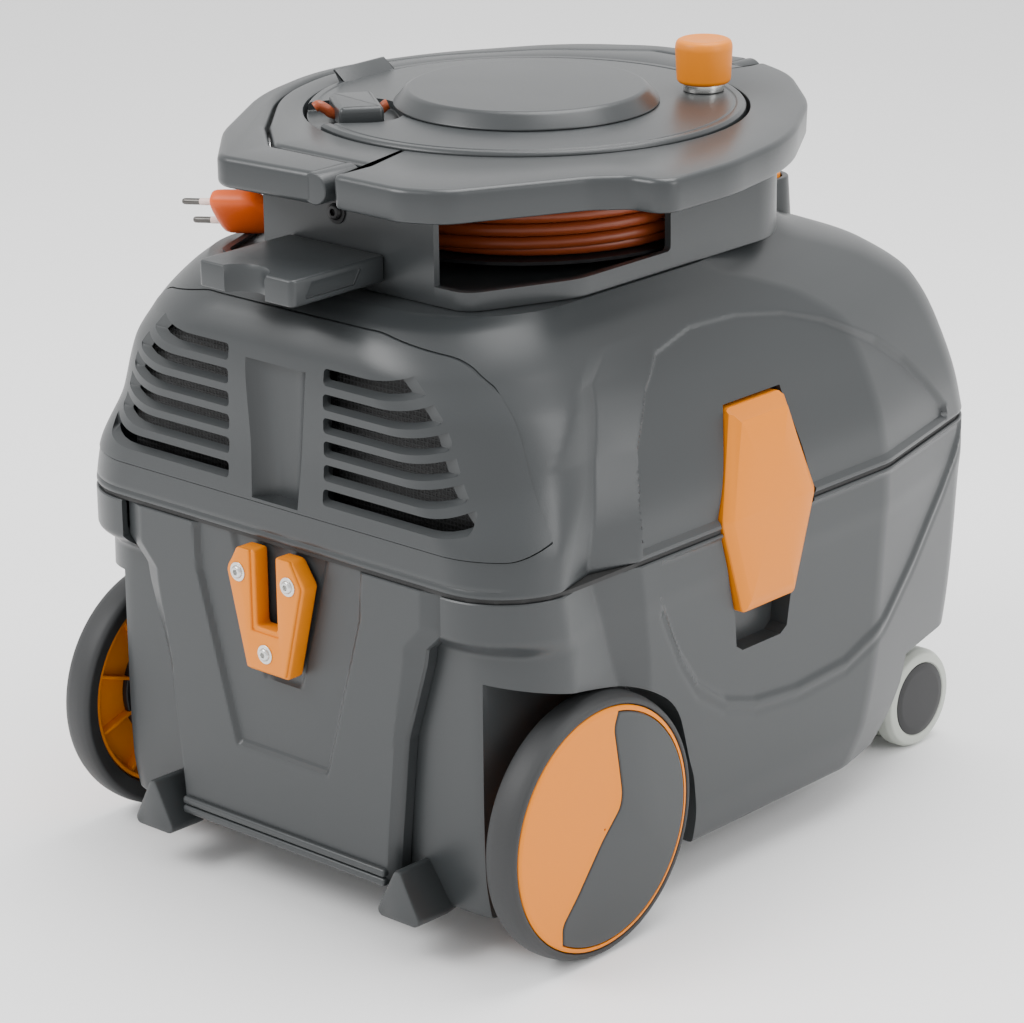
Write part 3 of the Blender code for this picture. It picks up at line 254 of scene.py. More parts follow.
def arcCorners(corners, steps=6):
    # a closed outline whose corners (u, v, radius) are arcs
    out = []
    count = len(corners)
    for i, (u, v, radius) in enumerate(corners):
        here = np.array((u, v), float)
        back = np.array(corners[i - 1][:2]) - here
        ahead = np.array(corners[(i + 1) % count][:2]) - here
        back, ahead = back / np.hypot(*back), ahead / np.hypot(*ahead)
        half = math.acos(max(-1, min(1, float(back @ ahead)))) / 2
        reach = radius / math.tan(half)
        centre = here + (back + ahead) / np.hypot(*(back + ahead)) * radius / math.sin(half)
        first = here + back * reach - centre
        last = here + ahead * reach - centre
        sweepAngle = math.atan2(first[0] * last[1] - first[1] * last[0], float(first @ last))
        a = sweepAngle * np.arange(steps + 1) / steps
        out.append(centre + np.stack([first[0] * np.cos(a) - first[1] * np.sin(a),
                                      first[0] * np.sin(a) + first[1] * np.cos(a)], 1))
    return np.concatenate(out)


def roundedBox(uLow, uHigh, vLow, vHigh, radius, steps):
    return arcCorners([(uLow, vLow, radius), (uHigh, vLow, radius),
                       (uHigh, vHigh, radius), (uLow, vHigh, radius)], steps)


def mirrored(corners):
    # corners of the right half, followed by those of the left
    return corners + [(-u, v, radius) for u, v, radius in reversed(corners)]


def carve(piece, cutter, operation="DIFFERENCE", sharp=32):
    # the Boolean is worked out at once, and the cutter removed
    step = piece.modifiers.new("carve", "BOOLEAN")
    step.operation = operation
    step.object = cutter
    step.solver = "EXACT"
    graph = bpy.context.evaluated_depsgraph_get()
    done = bpy.data.meshes.new_from_object(piece.evaluated_get(graph))
    piece.modifiers.clear()
    piece.data = done
    piece.data.materials.clear()
    smoothShade(done, sharp)
    bpy.data.objects.remove(cutter, do_unlink=True)
    return piece


def cutAway(piece, *surfaces, sharp=28):
    # takes closed surfaces out of the piece
    return carve(piece, newPiece("cutter", list(surfaces)), sharp=sharp)


def softEdges(piece, width, segments=2, degrees=40):
    # a small round along every sharp edge
    step = piece.modifiers.new("round", "BEVEL")
    step.width = width
    step.segments = segments
    step.limit_method = "ANGLE"
    step.angle_limit = math.radians(degrees)
    step.miter_outer = "MITER_ARC"
    step.harden_normals = True
    return piece


def lathe(name, shape, centre, axis="Z", closed=False):
    # a turned piece, from its dictionary
    profile = softProfile(shape["profile"], shape["round"], shape["steps"], closed)
    return newPiece(name, [turned(profile, axis, centre, shape["sides"], closed)], shape["sharp"])


def smoothStep(x, low, high):
    # 0 below low, 1 above high, and an S curve of the third power between
    t = np.clip((x - low) / (high - low), 0, 1)
    return t * t * (3 - 2 * t)


def span(sign, near, far):
    # low and high x of a stretch on the side of the sign
    return (near, far) if sign > 0 else (-far, -near)


# Shader helpers.

class Value:
    # a socket or a number that takes part in shader maths
    def __init__(self, maker, source):
        self.maker = maker
        self.source = source

    def join(self, operation, other, swap=False):
        a, b = (other, self) if swap else (self, other)
        return self.maker.node("ShaderNodeMath", {"operation": operation}, a, b)

    def __add__(self, other):
        return self.join("ADD", other)

    def __radd__(self, other):
        return self.join("ADD", other)

    def __sub__(self, other):
        return self.join("SUBTRACT", other)

    def __rsub__(self, other):
        return self.join("SUBTRACT", other, True)

    def __mul__(self, other):
        return self.join("MULTIPLY", other)

    def __rmul__(self, other):
        return self.join("MULTIPLY", other)


class Finish:
    # one material; node() adds any node by its type, settings and inputs
    def __init__(self, name):
        self.material = bpy.data.materials.new(name)
        self.material.use_nodes = True
        self.tree = self.material.node_tree
        self.shader = self.tree.nodes["Principled BSDF"]

    def node(self, kind, settings, *inputs, output=0, **named):
        made = self.tree.nodes.new(kind)
        for key, value in settings.items():
            setattr(made, key, value)
        byName = [(key.replace("_", " "), value) for key, value in named.items()]
        for key, value in list(enumerate(inputs)) + byName:
            socket = made.inputs[key]
            if isinstance(value, Value):
                self.tree.links.new(value.source, socket)
            else:
                socket.default_value = value
        return Value(self, made.outputs[output])

    def set(self, socket, value):
        if isinstance(value, Value):
            self.tree.links.new(value.source, self.shader.inputs[socket])
        else:
            self.shader.inputs[socket].default_value = value

    def place(self):
        return self.node("ShaderNodeTexCoord", {}, output="Object")

    def noise(self, scale, detail=3, roughness=0.55, where=None):
        where = where or self.place()
        return self.node("ShaderNodeTexNoise", {}, where,
                         Scale=scale, Detail=detail, Roughness=roughness)

    def stretch(self, scale):
        return self.node("ShaderNodeMapping", {}, self.place(), Scale=scale)

    def mix(self, factor, a, b):
        made = self.tree.nodes.new("ShaderNodeMix")
        made.data_type = "RGBA"  # its sockets are 0 for the factor, 6 and 7 for the colours
        for key, value in ((0, factor), (6, a), (7, b)):
            if isinstance(value, Value):
                self.tree.links.new(value.source, made.inputs[key])
            else:
                made.inputs[key].default_value = value
        return Value(self, made.outputs[2])

    def bump(self, height, strength, distance):
        self.set("Normal", self.node("ShaderNodeBump", {},
                                     Strength=strength, Distance=distance, Height=height))


def shade(colour, factor):
    return (colour[0] * factor, colour[1] * factor, colour[2] * factor, 1)


# Camera and stage.
camera = {"at": (1.48848, -1.66371, 0.95269), "target": (0, -0.029, 0.19667), "lens": 132.9,
          "roll": -0.01263, "sensor": 36, "sees": 60}
stage = {"halfSide": 8.0, "paper": (0.90, 0.93), "paperScale": 3.0, "paperRoughness": 0.75, "sky": 1.3,
         "lights": (("keyLight", (-0.9, -1.7, 1.9), (0, -0.05, 0.25), (1.4, 1.0), 46),
                    ("sideLight", (2.1, 0.3, 1.1), (0.1, 0, 0.2), (0.9, 1.4), 20),
                    ("topLight", (0.2, 0.5, 2.2), (0, 0, 0.35), (1.6, 1.2), 46))}


def setCamera():
    # looks from one point to another, then rolls about that line
    made = bpy.data.objects.new("camera", bpy.data.cameras.new("camera"))
    bpy.context.scene.collection.objects.link(made)
    made.data.lens = camera["lens"]
    made.data.sensor_width = camera["sensor"]
    made.data.clip_end = camera["sees"]
    at = Vector(camera["at"])
    ahead = (Vector(camera["target"]) - at).normalized()
    right = ahead.cross(Vector((0, 0, 1))).normalized()
    up = right.cross(ahead)
    cosine, sine = math.cos(camera["roll"]), math.sin(camera["roll"])
    turnedRight = right * cosine + up * sine
    turnedUp = up * cosine - right * sine
    facing = Matrix((turnedRight, turnedUp, -ahead)).transposed().to_4x4()
    made.matrix_world = Matrix.Translation(at) @ facing
    bpy.context.scene.camera = made


def softBox(name, at, aim, size, watts):
    light = bpy.data.lights.new(name, "AREA")
    light.shape = "RECTANGLE"
    light.size, light.size_y = size
    light.energy = watts
    made = bpy.data.objects.new(name, light)
    made.location = at
    made.rotation_euler = (Vector(aim) - Vector(at)).to_track_quat("-Z", "Y").to_euler()
    bpy.context.scene.collection.objects.link(made)


def setStage():
    # a pale floor, an even white sky and three soft boxes
    side = stage["halfSide"]
    floor = bpy.data.objects.new("floor", bpy.data.meshes.new("floor"))
    corners = [(-side, -side, 0), (side, -side, 0), (side, side, 0), (-side, side, 0)]
    floor.data.from_pydata(corners, [], [(0, 1, 2, 3)])
    bpy.context.scene.collection.objects.link(floor)
    paper = Finish("paleFloor")
    dark, light = ((level, level, level, 1) for level in stage["paper"])
    paper.set("Base Color", paper.mix(paper.noise(stage["paperScale"], 2), dark, light))
    paper.set("Roughness", stage["paperRoughness"])
    floor.data.materials.append(paper.material)
    world = bpy.data.worlds.new("studio")
    bpy.context.scene.world = world
    world.use_nodes = True
    sky = world.node_tree.nodes["Background"]
    sky.inputs["Color"].default_value = (1, 1, 1, 1)
    sky.inputs["Strength"].default_value = stage["sky"]
    for lamp in stage["lights"]:
        softBox(*lamp)


setCamera()
setStage()
print("camera and stage set")

# Finishes.
grey = (0.028, 0.031, 0.0325)
orange = (0.66, 0.188, 0.0008)
plasticLook = {
    "colour": grey, "drift": 0.04, "driftScale": 9.0, "driftGloss": 0.08, "grainScale": 900.0,
    "speckFineness": 2.6, "mottle": 0.10, "mottleTone": 1.25, "roughness": 0.34, "grainGloss": 0.10,
    "grainDepth": 0.16, "grainShare": 0.7, "relief": 0.0004, "specular": 0.42}


def mouldedPlastic(name, **changes):
    # fine spark-eroded grain, with faint large drifts of tone and gloss
    look = {**plasticLook, **changes}
    colour = look["colour"]
    made = Finish(name)
    drift = made.noise(look["driftScale"], 2)
    grain = made.noise(look["grainScale"], 4, 0.7)
    speck = made.noise(look["grainScale"] * look["speckFineness"], 2)
    tone = made.mix(drift, shade(colour, 1 - look["drift"]), shade(colour, 1 + look["drift"]))
    made.set("Base Color", made.mix(grain * look["mottle"], tone, shade(colour, look["mottleTone"])))
    made.set("Roughness", look["roughness"] + (grain - 0.5) * look["grainGloss"]
             + (drift - 0.5) * look["driftGloss"])
    made.bump(grain * look["grainShare"] + speck * (1 - look["grainShare"]),
              look["grainDepth"], look["relief"])
    made.set("Specular IOR Level", look["specular"])
    return made.material


bodyPlastic = mouldedPlastic("bodyPlastic")
topPlastic = mouldedPlastic("topPlastic", roughness=0.32, grainScale=1100.0)
panelPlastic = mouldedPlastic("panelPlastic", roughness=0.38, grainScale=820.0)
orangePlastic = mouldedPlastic("orangePlastic", colour=orange, drift=0.02, mottle=0.02, roughness=0.42,
                               specular=0.25, grainDepth=0.08)
blackPlastic = mouldedPlastic("blackPlastic", colour=(0.010, 0.010, 0.011), roughness=0.46)
tyreRubber = mouldedPlastic("tyreRubber", colour=(0.020, 0.021, 0.022), roughness=0.55,
                            grainScale=650.0, grainDepth=0.25)
casterRubber = mouldedPlastic("casterRubber", colour=(0.40, 0.42, 0.38), roughness=0.50, drift=0.03,
                              mottle=0.05)
sealRubber = mouldedPlastic("sealRubber", colour=(0.012, 0.012, 0.012), roughness=0.65)
# the cord's orange is darkened to a brown: painted shade of the winding inside the column, which the lead and
# the loop on the disc carry too
shadedCordPlastic = mouldedPlastic("shadedCordPlastic", colour=(0.24, 0.045, 0.012), roughness=0.38,
                             grainScale=700.0, drift=0.03, grainDepth=0.10)
plugPlastic = mouldedPlastic("plugPlastic", colour=(0.62, 0.085, 0.006), specular=0.3, roughness=0.42,
                             grainScale=700.0, drift=0.02, grainDepth=0.10)
sleevePlastic = mouldedPlastic("sleevePlastic", colour=(0.72, 0.55, 0.50), roughness=0.40,
                               grainDepth=0.05)


steelLook = {"lines": 60.0, "stretch": (1, 1, 22), "tones": (0.88, 1.08), "lineGloss": 0.18,
             "depth": 0.10, "relief": 0.0002}
# foam tones: lighter struts, and pores darkened as painted shade
foamLook = {"cells": 420.0, "strut": 0.16, "tones": (1.6, 0.35), "roughness": 0.92, "depth": 0.7,
            "relief": 0.0012}
feltLook = {"fibres": 1500.0, "stretch": (1, 1, 0.35), "clouds": 45.0, "tones": (0.90, 1.05),
            "roughness": 0.90, "fibreGloss": 0.1, "fibreShare": 0.6, "depth": 0.5, "relief": 0.0012}


def brushedSteel(name, colour=(0.62, 0.62, 0.60), roughness=0.28):
    # fine turning lines along the piece, as a stretched noise
    look = steelLook
    made = Finish(name)
    lines = made.noise(look["lines"], 3, 0.6, made.stretch(look["stretch"]))
    made.set("Base Color", made.mix(lines, *(shade(colour, tone) for tone in look["tones"])))
    made.set("Metallic", 1.0)
    made.set("Roughness", roughness + (lines - 0.5) * look["lineGloss"])
    made.bump(lines, look["depth"], look["relief"])
    return made.material


def openFoam(name, colour):
    # cells of a reticulated foam: the pores between their struts are painted dark, painted shade inside the
    # foam
    look = foamLook
    made = Finish(name)
    edge = made.node("ShaderNodeTexVoronoi", {"feature": "DISTANCE_TO_EDGE"}, made.place(),
                     Scale=look["cells"])
    strut = made.node("ShaderNodeMapRange", {}, edge, From_Min=0.0, From_Max=look["strut"])
    made.set("Base Color", made.mix(strut, *(shade(colour, tone) for tone in look["tones"])))
    made.set("Roughness", look["roughness"])
    made.bump(1 - strut, look["depth"], look["relief"])
    return made.material


def feltCloth(name, colour):
    # short matted fibres over a soft mottle
    look = feltLook
    made = Finish(name)
    fibre = made.noise(look["fibres"], 6, 0.75, made.stretch(look["stretch"]))
    cloud = made.noise(look["clouds"], 3)
    made.set("Base Color", made.mix(cloud, *(shade(colour, tone) for tone in look["tones"])))
    made.set("Roughness", look["roughness"] + (fibre - 0.5) * look["fibreGloss"])
    made.bump(fibre * look["fibreShare"] + cloud * (1 - look["fibreShare"]), look["depth"], look["relief"])
    return made.material


def squareGrille(name):
    # a moulded mesh: light bars over square holes painted near black, painted shade of the openings
    look = {"halfPitch": 0.0014, "bar": (0.0003, 0.0006), "hole": (0.004, 0.004, 0.004, 1),
            "colour": (0.022, 0.023, 0.024, 1), "roughness": 0.55, "depth": 0.8, "relief": 0.0010}
    made = Finish(name)
    x, z = (made.node("ShaderNodeSeparateXYZ", {}, made.place(), output=k) for k in (0, 2))
    barX, barZ = (made.node("ShaderNodeMath", {"operation": "PINGPONG"}, way, look["halfPitch"])
                  for way in (x, z))
    nearest = made.node("ShaderNodeMath", {"operation": "MINIMUM"}, barX, barZ)
    bar = made.node("ShaderNodeMapRange", {}, nearest, From_Min=look["bar"][0],
                    From_Max=look["bar"][1], To_Min=1.0, To_Max=0.0)
    made.set("Base Color", made.mix(bar, look["hole"], look["colour"]))
    made.set("Roughness", look["roughness"] + bar * 0.05)
    made.bump(bar, look["depth"], look["relief"])
    return made.material


steel = brushedSteel("brushedSteel")
darkSteel = brushedSteel("darkSteel", (0.10, 0.095, 0.09), 0.35)
motorMetal = brushedSteel("motorMetal", (0.08, 0.08, 0.085), 0.5)
foam = openFoam("filterFoam", (0.020, 0.020, 0.022))
fleece = feltCloth("bagFleece", (0.76, 0.73, 0.64))
grillePlastic = squareGrille("grillePlastic")


def finish(piece, material, body, slot, *nodes):
    # a piece gets its material and its body, and the nodes it stands for are hidden; its paint slot is not
    # used
    piece.data.materials.clear()
    piece.data.materials.append(material)
    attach(piece, body)
    if nodes:
        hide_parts(*nodes)
    return piece


def dress(node, material):
    # a carried-over node keeps its shape and takes a better material
    target = frame["nodes"][node]
    target.data.materials.clear()
    target.data.materials.append(material)


print("finishes made")

# Mains cord, wound on the drum, with its lead and its plug.
reelY = -0.0115
cord = {"radius": 0.00375, "drum": 0.0891, "gap": 0.0001, "pitch": 0.0078, "low": 0.3843,
        "layers": 3, "rows": 5, "perTurn": 36, "climbFrom": 12, "leaveFrom": 13, "climbSteps": 26,
        "straight": 0.030, "reach": 0.030, "intoPlug": 0.002}
plug = {"back": (-0.0910, -0.1340, 0.3930), "along": (-0.93, -0.36, -0.06), "up": (-0.20, 0.62, -0.75),
        "ribs": 5, "ribStep": (0.0024, 0.00025, 0.0004), "pinApart": 0.0190,
        "rib": ((-0.0110, 0.0048), (-0.0100, 0.0048), (-0.0098, 0.0042), (-0.0090, 0.0042)),
        "tail": (-0.0120, 0.0040, 0.0040, 1.0),
        "body": [
            (0.0015, 0.0058, 0.0085, 0.9), (0.0050, 0.0064, 0.0120, 0.8), (0.0085, 0.0068, 0.0150, 0.7),
            (0.0120, 0.0071, 0.0172, 0.62), (0.0180, 0.0072, 0.0175, 0.6), (0.0300, 0.0072, 0.0175, 0.6),
            (0.0345, 0.0071, 0.0172, 0.6), (0.0370, 0.0067, 0.0166, 0.62), (0.0380, 0.0060, 0.0158, 0.64)],
        "sleeve": ((0.0375, 0.0022), (0.0400, 0.0022), (0.0468, 0.0022), (0.0470, 0.0021)),
        "pin": ((0.0465, 0.0020), (0.0560, 0.0020), (0.0578, 0.0019), (0.0587, 0.0014), (0.0590, 0.0006))}
plugBack = np.array(plug["back"])
plugAlong = np.array(plug["along"]) / np.linalg.norm(plug["along"])
plugUp = np.array(plug["up"]) - np.dot(plug["up"], plugAlong) * plugAlong
plugUp /= np.linalg.norm(plugUp)
plugSide = np.cross(plugUp, plugAlong)


def onReel(radius, angle, height):
    # points on circles about the reel's axis
    return np.stack([radius * np.cos(angle), reelY + radius * np.sin(angle), height], 1)


def windingLayers():
    # one helix a layer, up and down in turn between the flanges
    perTurn = cord["perTurn"]
    turns = cord["rows"] - 1
    made = []
    for layer in range(cord["layers"]):
        radius = cord["drum"] + cord["radius"] + cord["gap"] + layer * cord["pitch"]
        past = cord["climbFrom"] if layer < cord["layers"] - 1 else cord["leaveFrom"]
        t = np.arange(turns * perTurn + past) / perTurn
        rise = np.clip(t, 0, turns) * cord["pitch"]
        if layer % 2:
            rise = turns * cord["pitch"] - rise
        angle = 2 * np.pi * (t + layer * (turns + 1)) + math.pi * 0.5
        made.append(onReel(radius, angle, cord["low"] + cord["radius"] + rise))
    return made


def climb(start, end):
    # from one layer to the next: radius and height follow an S curve over the rest of the turn
    a0 = math.atan2(start[1] - reelY, start[0])
    a1 = math.atan2(end[1] - reelY, end[0])
    a1 += 2 * math.pi * (a1 <= a0)
    t = np.linspace(0, 1, cord["climbSteps"])[1:-1]
    ease = t * t * (3 - 2 * t)
    first, last = (math.hypot(end[0], end[1] - reelY) for end in (start, end))
    height = start[2] + (end[2] - start[2]) * ease
    return onReel(first * (1 - ease) + last * ease, a0 + (a1 - a0) * t, height)


def leadPath(start, heading):
    # straight off the drum, then a cubic Bezier bend into the back of the plug
    ahead = np.array([math.cos(heading), math.sin(heading), 0])
    straight = start + ahead * np.linspace(0, 1, 9)[1:, None] * cord["straight"]
    goal = plugBack - plugAlong * cord["intoPlug"]
    a = straight[-1]
    b = a + ahead * cord["reach"]
    c = goal - plugAlong * cord["reach"]
    t = np.linspace(0, 1, 25)[1:, None]
    bend = (1 - t) ** 3 * a + 3 * t * (1 - t) ** 2 * b + 3 * t ** 2 * (1 - t) * c + t ** 3 * goal
    return np.concatenate([straight, bend])


layers = windingLayers()
joined = [layers[0]]
for nextLayer in layers[1:]:
    joined += [climb(joined[-1][-1], nextLayer[0]), nextLayer]
lastTwo = joined[-1][-2:]
leaving = math.atan2(lastTwo[1, 1] - lastTwo[0, 1], lastTwo[1, 0] - lastTwo[0, 0])
cordPath = np.concatenate(joined + [leadPath(joined[-1][-1], leaving)])
mainsCord = newPiece("mainsCord", [sweep(cordPath, cord["radius"], 16)], 60)
finish(mainsCord, shadedCordPlastic, "head", "cord_orange", "cord_winding", "cord_lead")


def plugPoints(stations, sides=28):
    # superellipses (along, half thickness, half height, power) on the plug's own axes
    angle = np.arange(sides) * 2 * np.pi / sides
    rows = []
    for ahead, thick, high, power in stations:
        u = np.sign(np.cos(angle)) * np.abs(np.cos(angle)) ** power * thick
        v = np.sign(np.sin(angle)) * np.abs(np.sin(angle)) ** power * high
        rows.append(plugBack + plugAlong * ahead + u[:, None] * plugSide + v[:, None] * plugUp)
    return np.array(rows), False, True, True, True


ribs = []
for k in range(plug["ribs"]):
    forward, thicker, higher = (step * k for step in plug["ribStep"])
    ribs += [(ahead + forward, size + thicker, size + higher, 1.0) for ahead, size in plug["rib"]]
plugBody = newPiece("plugBody", [plugPoints([plug["tail"]] + ribs + plug["body"])], 40)
finish(plugBody, plugPlastic, "head", "cord_orange", "mains_plug")
prongs = {"Sleeve": [], "Pin": []}
for way, label in ((1, "Upper"), (-1, "Lower")):
    middle = plugBack + plugUp * (way * plug["pinApart"] / 2)
    for kind, material, slot in (("Sleeve", sleevePlastic, "cord_orange"), ("Pin", darkSteel, "steel")):
        stations, radii = np.array(plug[kind.lower()]).T
        prong = newPiece("prong" + kind + label, [sweep(middle + plugAlong * stations[:, None], radii, 20)])
        prongs[kind].append(finish(prong, material, "head", slot))

# The end of the cord that shows in the clamp on top of the disc.
clampTurn = math.atan2(-0.797, -0.604)
clampAt = np.array([0.103 * math.cos(clampTurn), reelY + 0.103 * math.sin(clampTurn), 0])
loop = {"radius": 0.0032,
        "line": [(-0.0190, 0, 0.4550), (-0.0175, 0, 0.4543), (-0.0145, 0, 0.4519), (-0.0105, 0, 0.4505),
                 (0.0120, 0, 0.4505), (0.0180, 0, 0.4537), (0.0225, 0, 0.4563), (0.0250, 0, 0.4550)]}


def placed(points, angle, at):
    # points turned about the upright axis, then moved
    cosine, sine = math.cos(angle), math.sin(angle)
    points = np.asarray(points, float)
    x, y = points[..., 0], points[..., 1]
    return np.stack([x * cosine - y * sine, x * sine + y * cosine, points[..., 2]], -1) + np.asarray(at)


def onClamp(surface):
    # clamp axes: u outwards from the reel's axis, v along the rim
    points, *ends = surface
    return (placed(points, clampTurn, clampAt), *ends)


loopPath = placed(smoothCurve(loop["line"], 6), clampTurn, clampAt)
cordEnd = newPiece("cordEnd", [sweep(loopPath, loop["radius"], 16)], 60)
finish(cordEnd, shadedCordPlastic, "reel", "cord_orange", "cord_loop")

# Body shells. A station is (height, half width, rear y, front y, rear round, front round).
# Counts are points a corner, along each long side, each tapering side, the front and the rear.
nose = {"narrower": 0.033, "taper": 0.135, "round": 0.05}
inlet = {"height": 0.150, "bore": 0.026,
         "profile": [(0.0210, 0.1975), (0.0257, 0.1975), (0.0257, 0.2478), (0.0340, 0.2478), (0.0340, 0.2488),
                     (0.0320, 0.2496), (0.0235, 0.2496), (0.0225, 0.2488), (0.0210, 0.2488)],
         "round": 0.0005, "steps": 3, "sides": 96, "sharp": 28}
tub = {
    "stations": [
        (0.030, 0.166, -0.215, 0.230, 0.030, 0.040), (0.060, 0.174, -0.218, 0.238, 0.032, 0.040),
        (0.120, 0.180, -0.219, 0.244, 0.040, 0.040), (0.192, 0.183, -0.219, 0.2475, 0.046, 0.040),
        (0.206, 0.184, -0.233, 0.248, 0.050, 0.040), (0.2285, 0.184, -0.233, 0.248, 0.050, 0.040)],
    "counts": (22, 150, 44, 40, 44), "wall": 0.004, "rim": 0.2285, "floor": 0.034,
    "lowEdge": (0.0030, 0.0012, 0.0003), "topEdge": 0.0006, "step": 0.0022, "groove": 0.0007,
    "wheelWall": 0.144, "sideWall": 0.159, "casterRoof": 0.092, "latchLow": 0.148,
    "floorRings": (0.93, 0.86, 0.79, 0.72, 0.65, 0.58, 0.50, 0.35, 0.15),
    "casterRoom": [(0.134, -0.01), (0.134, 0.030), (0.169, 0.088), (0.27, 0.088), (0.27, -0.01)],
    "swivelWell": [(0.061, -0.01), (0.061, 0.0879)], "swivelAt": (0.1147, 0.1957),
    "panelSeat": [(-0.1308, 0.24), (-0.1308, 0.2056), (-0.116, 0.1912), (-0.116, 0.18),
                  (0.116, 0.18), (0.116, 0.1912), (0.1308, 0.2056), (0.1308, 0.24)]}
head = {
    "stations": [
        (0.2315, 0.184, -0.233, 0.248, 0.050, 0.040), (0.252, 0.183, -0.2315, 0.245, 0.054, 0.046),
        (0.290, 0.175, -0.2285, 0.238, 0.076, 0.055), (0.322, 0.166, -0.228, 0.224, 0.080, 0.060),
        (0.344, 0.153, -0.226, 0.197, 0.085, 0.062), (0.358, 0.143, -0.220, 0.165, 0.085, 0.062),
        (0.367, 0.135, -0.211, 0.140, 0.080, 0.060), (0.3735, 0.1295, -0.195, 0.130, 0.070, 0.055)],
    "counts": (22, 170, 50, 40, 60), "wall": 0.0035, "lowEdge": (0.0007, 0.0002), "step": 0.0030,
    "groove": 0.0007, "grooveAt": 0.2358, "crown": 0.985, "sideWall": 0.1505, "rearWall": -0.1885,
    "latchLow": 0.168, "buttonAt": (0.045, 0.160, 0), "buttonBore": 0.0122,
    "cover": [(0.184, 0.252, 0.014), (0.168, 0.318, 0.030), (0.120, 0.356, 0.040), (0.070, 0.366, 0.06)]}
collar = {"profile": [(0.0122, 0.345), (0.0185, 0.345), (0.0162, 0.3815), (0.0122, 0.3815)],
          "round": 0.0012, "steps": 5, "sides": 64, "sharp": 30}
# The pillar behind each latch, in millimetres: its edges and its crease at each height.
pillar = {
    "z": (120, 158, 170, 235, 295, 333, 350, 362), "left": (-178, -181, -179, -192, -181, -151, -125, -112),
    "crease": (-132, -133, -137, -159, -141, -130, -110, -100),
    "right": (-111, -112, -113, -124, -113, -86, -72, -64), "depth": (2, 6, 7.5, 9, 8.5, 6, 0, 0)}
# Lines on the side view, in metres (y, z).
arch = np.array([(-120, 262), (-113, 295), (-95, 325), (-76, 340), (-40, 347), (0, 345.5), (40, 339),
                 (72, 329), (120, 306), (150, 287), (175, 266), (200, 244)]) / 1000
crest = np.array([(-104, 203), (-85, 165), (-67, 140), (-40, 122), (-11, 113), (30, 109), (78, 112),
                  (120, 128), (159, 155), (200, 190), (235, 230)]) / 1000
wheelArch = np.array([(-262, 183), (-220, 177), (-157, 163), (-117, 153), (-86, 133), (-72, 93),
                      (-66, 80), (-55, 38), (-52, -10), (-262, -10)]) / 1000
# The pocket under each latch: (height, half width, outer x) from its low end up.
pocket = {"rows": ((0, 0.0165, 0.1885), (0.004, 0.0225, 0.1885)),
          "upper": ((0.172, 0.025, 0.1885), (0.234, 0.0435, 0.1885), (0.2955, 0.026, 0.1805),
                    (0.3003, 0.025, 0.180)),
          "middle": -0.006, "grow": 0.0015, "deep": 0.022, "past": 0.02}


def along(stations, heights):
    # monotone cubic curves through the stations, one a column
    table = np.array(stations)
    z, values = table[:, 0], table[:, 1:]
    slope = np.diff(values, axis=0) / np.diff(z)[:, None]
    below, above = slope[:-1], slope[1:]
    inner = np.where(below * above > 0, 2 * below * above / (below + above + 1e-12), 0)
    tangent = np.vstack([slope[:1], inner, slope[-1:]])
    heights = np.clip(heights, z[0], z[-1])
    i = np.clip(np.searchsorted(z, heights) - 1, 0, len(z) - 2)
    step = (z[i + 1] - z[i])[:, None]
    t = ((heights - z[i]) / (z[i + 1] - z[i]))[:, None]
    return ((2 * t ** 3 - 3 * t ** 2 + 1) * values[i] + (t ** 3 - 2 * t ** 2 + t) * step * tangent[i]
            + (3 * t ** 2 - 2 * t ** 3) * values[i + 1] + (t ** 3 - t ** 2) * step * tangent[i + 1])


def plan(half, rearY, frontY, rearRound, frontRound, counts):
    # six arcs, joined by straight sides cut into the given counts
    corners = mirrored([(half, rearY, rearRound), (half, frontY - nose["taper"], nose["round"]),
                        (half - nose["narrower"], frontY, frontRound)])
    arcs = arcCorners(corners, counts[0]).reshape(6, counts[0] + 1, 2)
    between = [counts[1], counts[2], counts[3], counts[2], counts[1], counts[4]]
    out = []
    for k in range(6):
        out.append(arcs[k])
        t = np.linspace(0, 1, between[k] + 2)[1:-1, None]
        out.append(arcs[k][-1] * (1 - t) + arcs[(k + 1) % 6][0] * t)
    return np.concatenate(out)


def bodyGrid(stations, heights, counts, wall=0.0):
    # the plan at each height, drawn in by the wall
    least = 0.004
    rows = []
    for z, (half, rearY, frontY, *rounds) in zip(heights, along(stations, heights)):
        rounds = [max(size - wall, least) for size in rounds]
        outline = plan(half - wall, rearY + wall, frontY - wall, *rounds, counts)
        rows.append(np.column_stack([outline, np.full(len(outline), z)]))
    return np.array(rows)


def pillarDepth(y, z):
    # two facets that meet in a crease behind the latch
    left, crease, right, depth = (np.interp(z * 1000, pillar["z"], pillar[key]) / 1000
                                  for key in ("left", "crease", "right", "depth"))
    falling = np.clip((y - left) / (crease - left), 0, 1)
    rising = np.clip((right - y) / (right - crease), 0, 1)
    return depth * np.minimum(falling, rising)


def sideFacing(points):
    # 1 on the sides, 0 on the front and rear
    rows = np.gradient(points, axis=1)
    slope = np.abs(rows[..., 1]) / np.maximum(np.hypot(rows[..., 0], rows[..., 1]), tiny)
    return smoothStep(slope, 0.55, 0.75)


def pushIn(points, depth):
    # moves points inwards across the outline
    step = np.roll(points, -1, 1) - np.roll(points, 1, 1)
    normal = np.stack([-step[..., 1], step[..., 0], np.zeros(step.shape[:2])], -1)
    normal /= np.maximum(np.linalg.norm(normal, axis=2, keepdims=True), tiny)
    return points + normal * depth[..., None]


def latchPocket(sign, low):
    # narrow ends, widest at the belt; open outwards
    rows = []
    middle = pocket["middle"]
    stations = [(low + z, half, outer) for z, half, outer in pocket["rows"]] + list(pocket["upper"])
    for z, half, outer in stations:
        near, far, half = outer - pocket["deep"], outer + pocket["past"], half + pocket["grow"]
        corners = [(near, middle - half), (far, middle - half), (far, middle + half), (near, middle + half)]
        rows.append([(sign * x, y, z) for x, y in corners])
    return np.array(rows), False, True, True, True


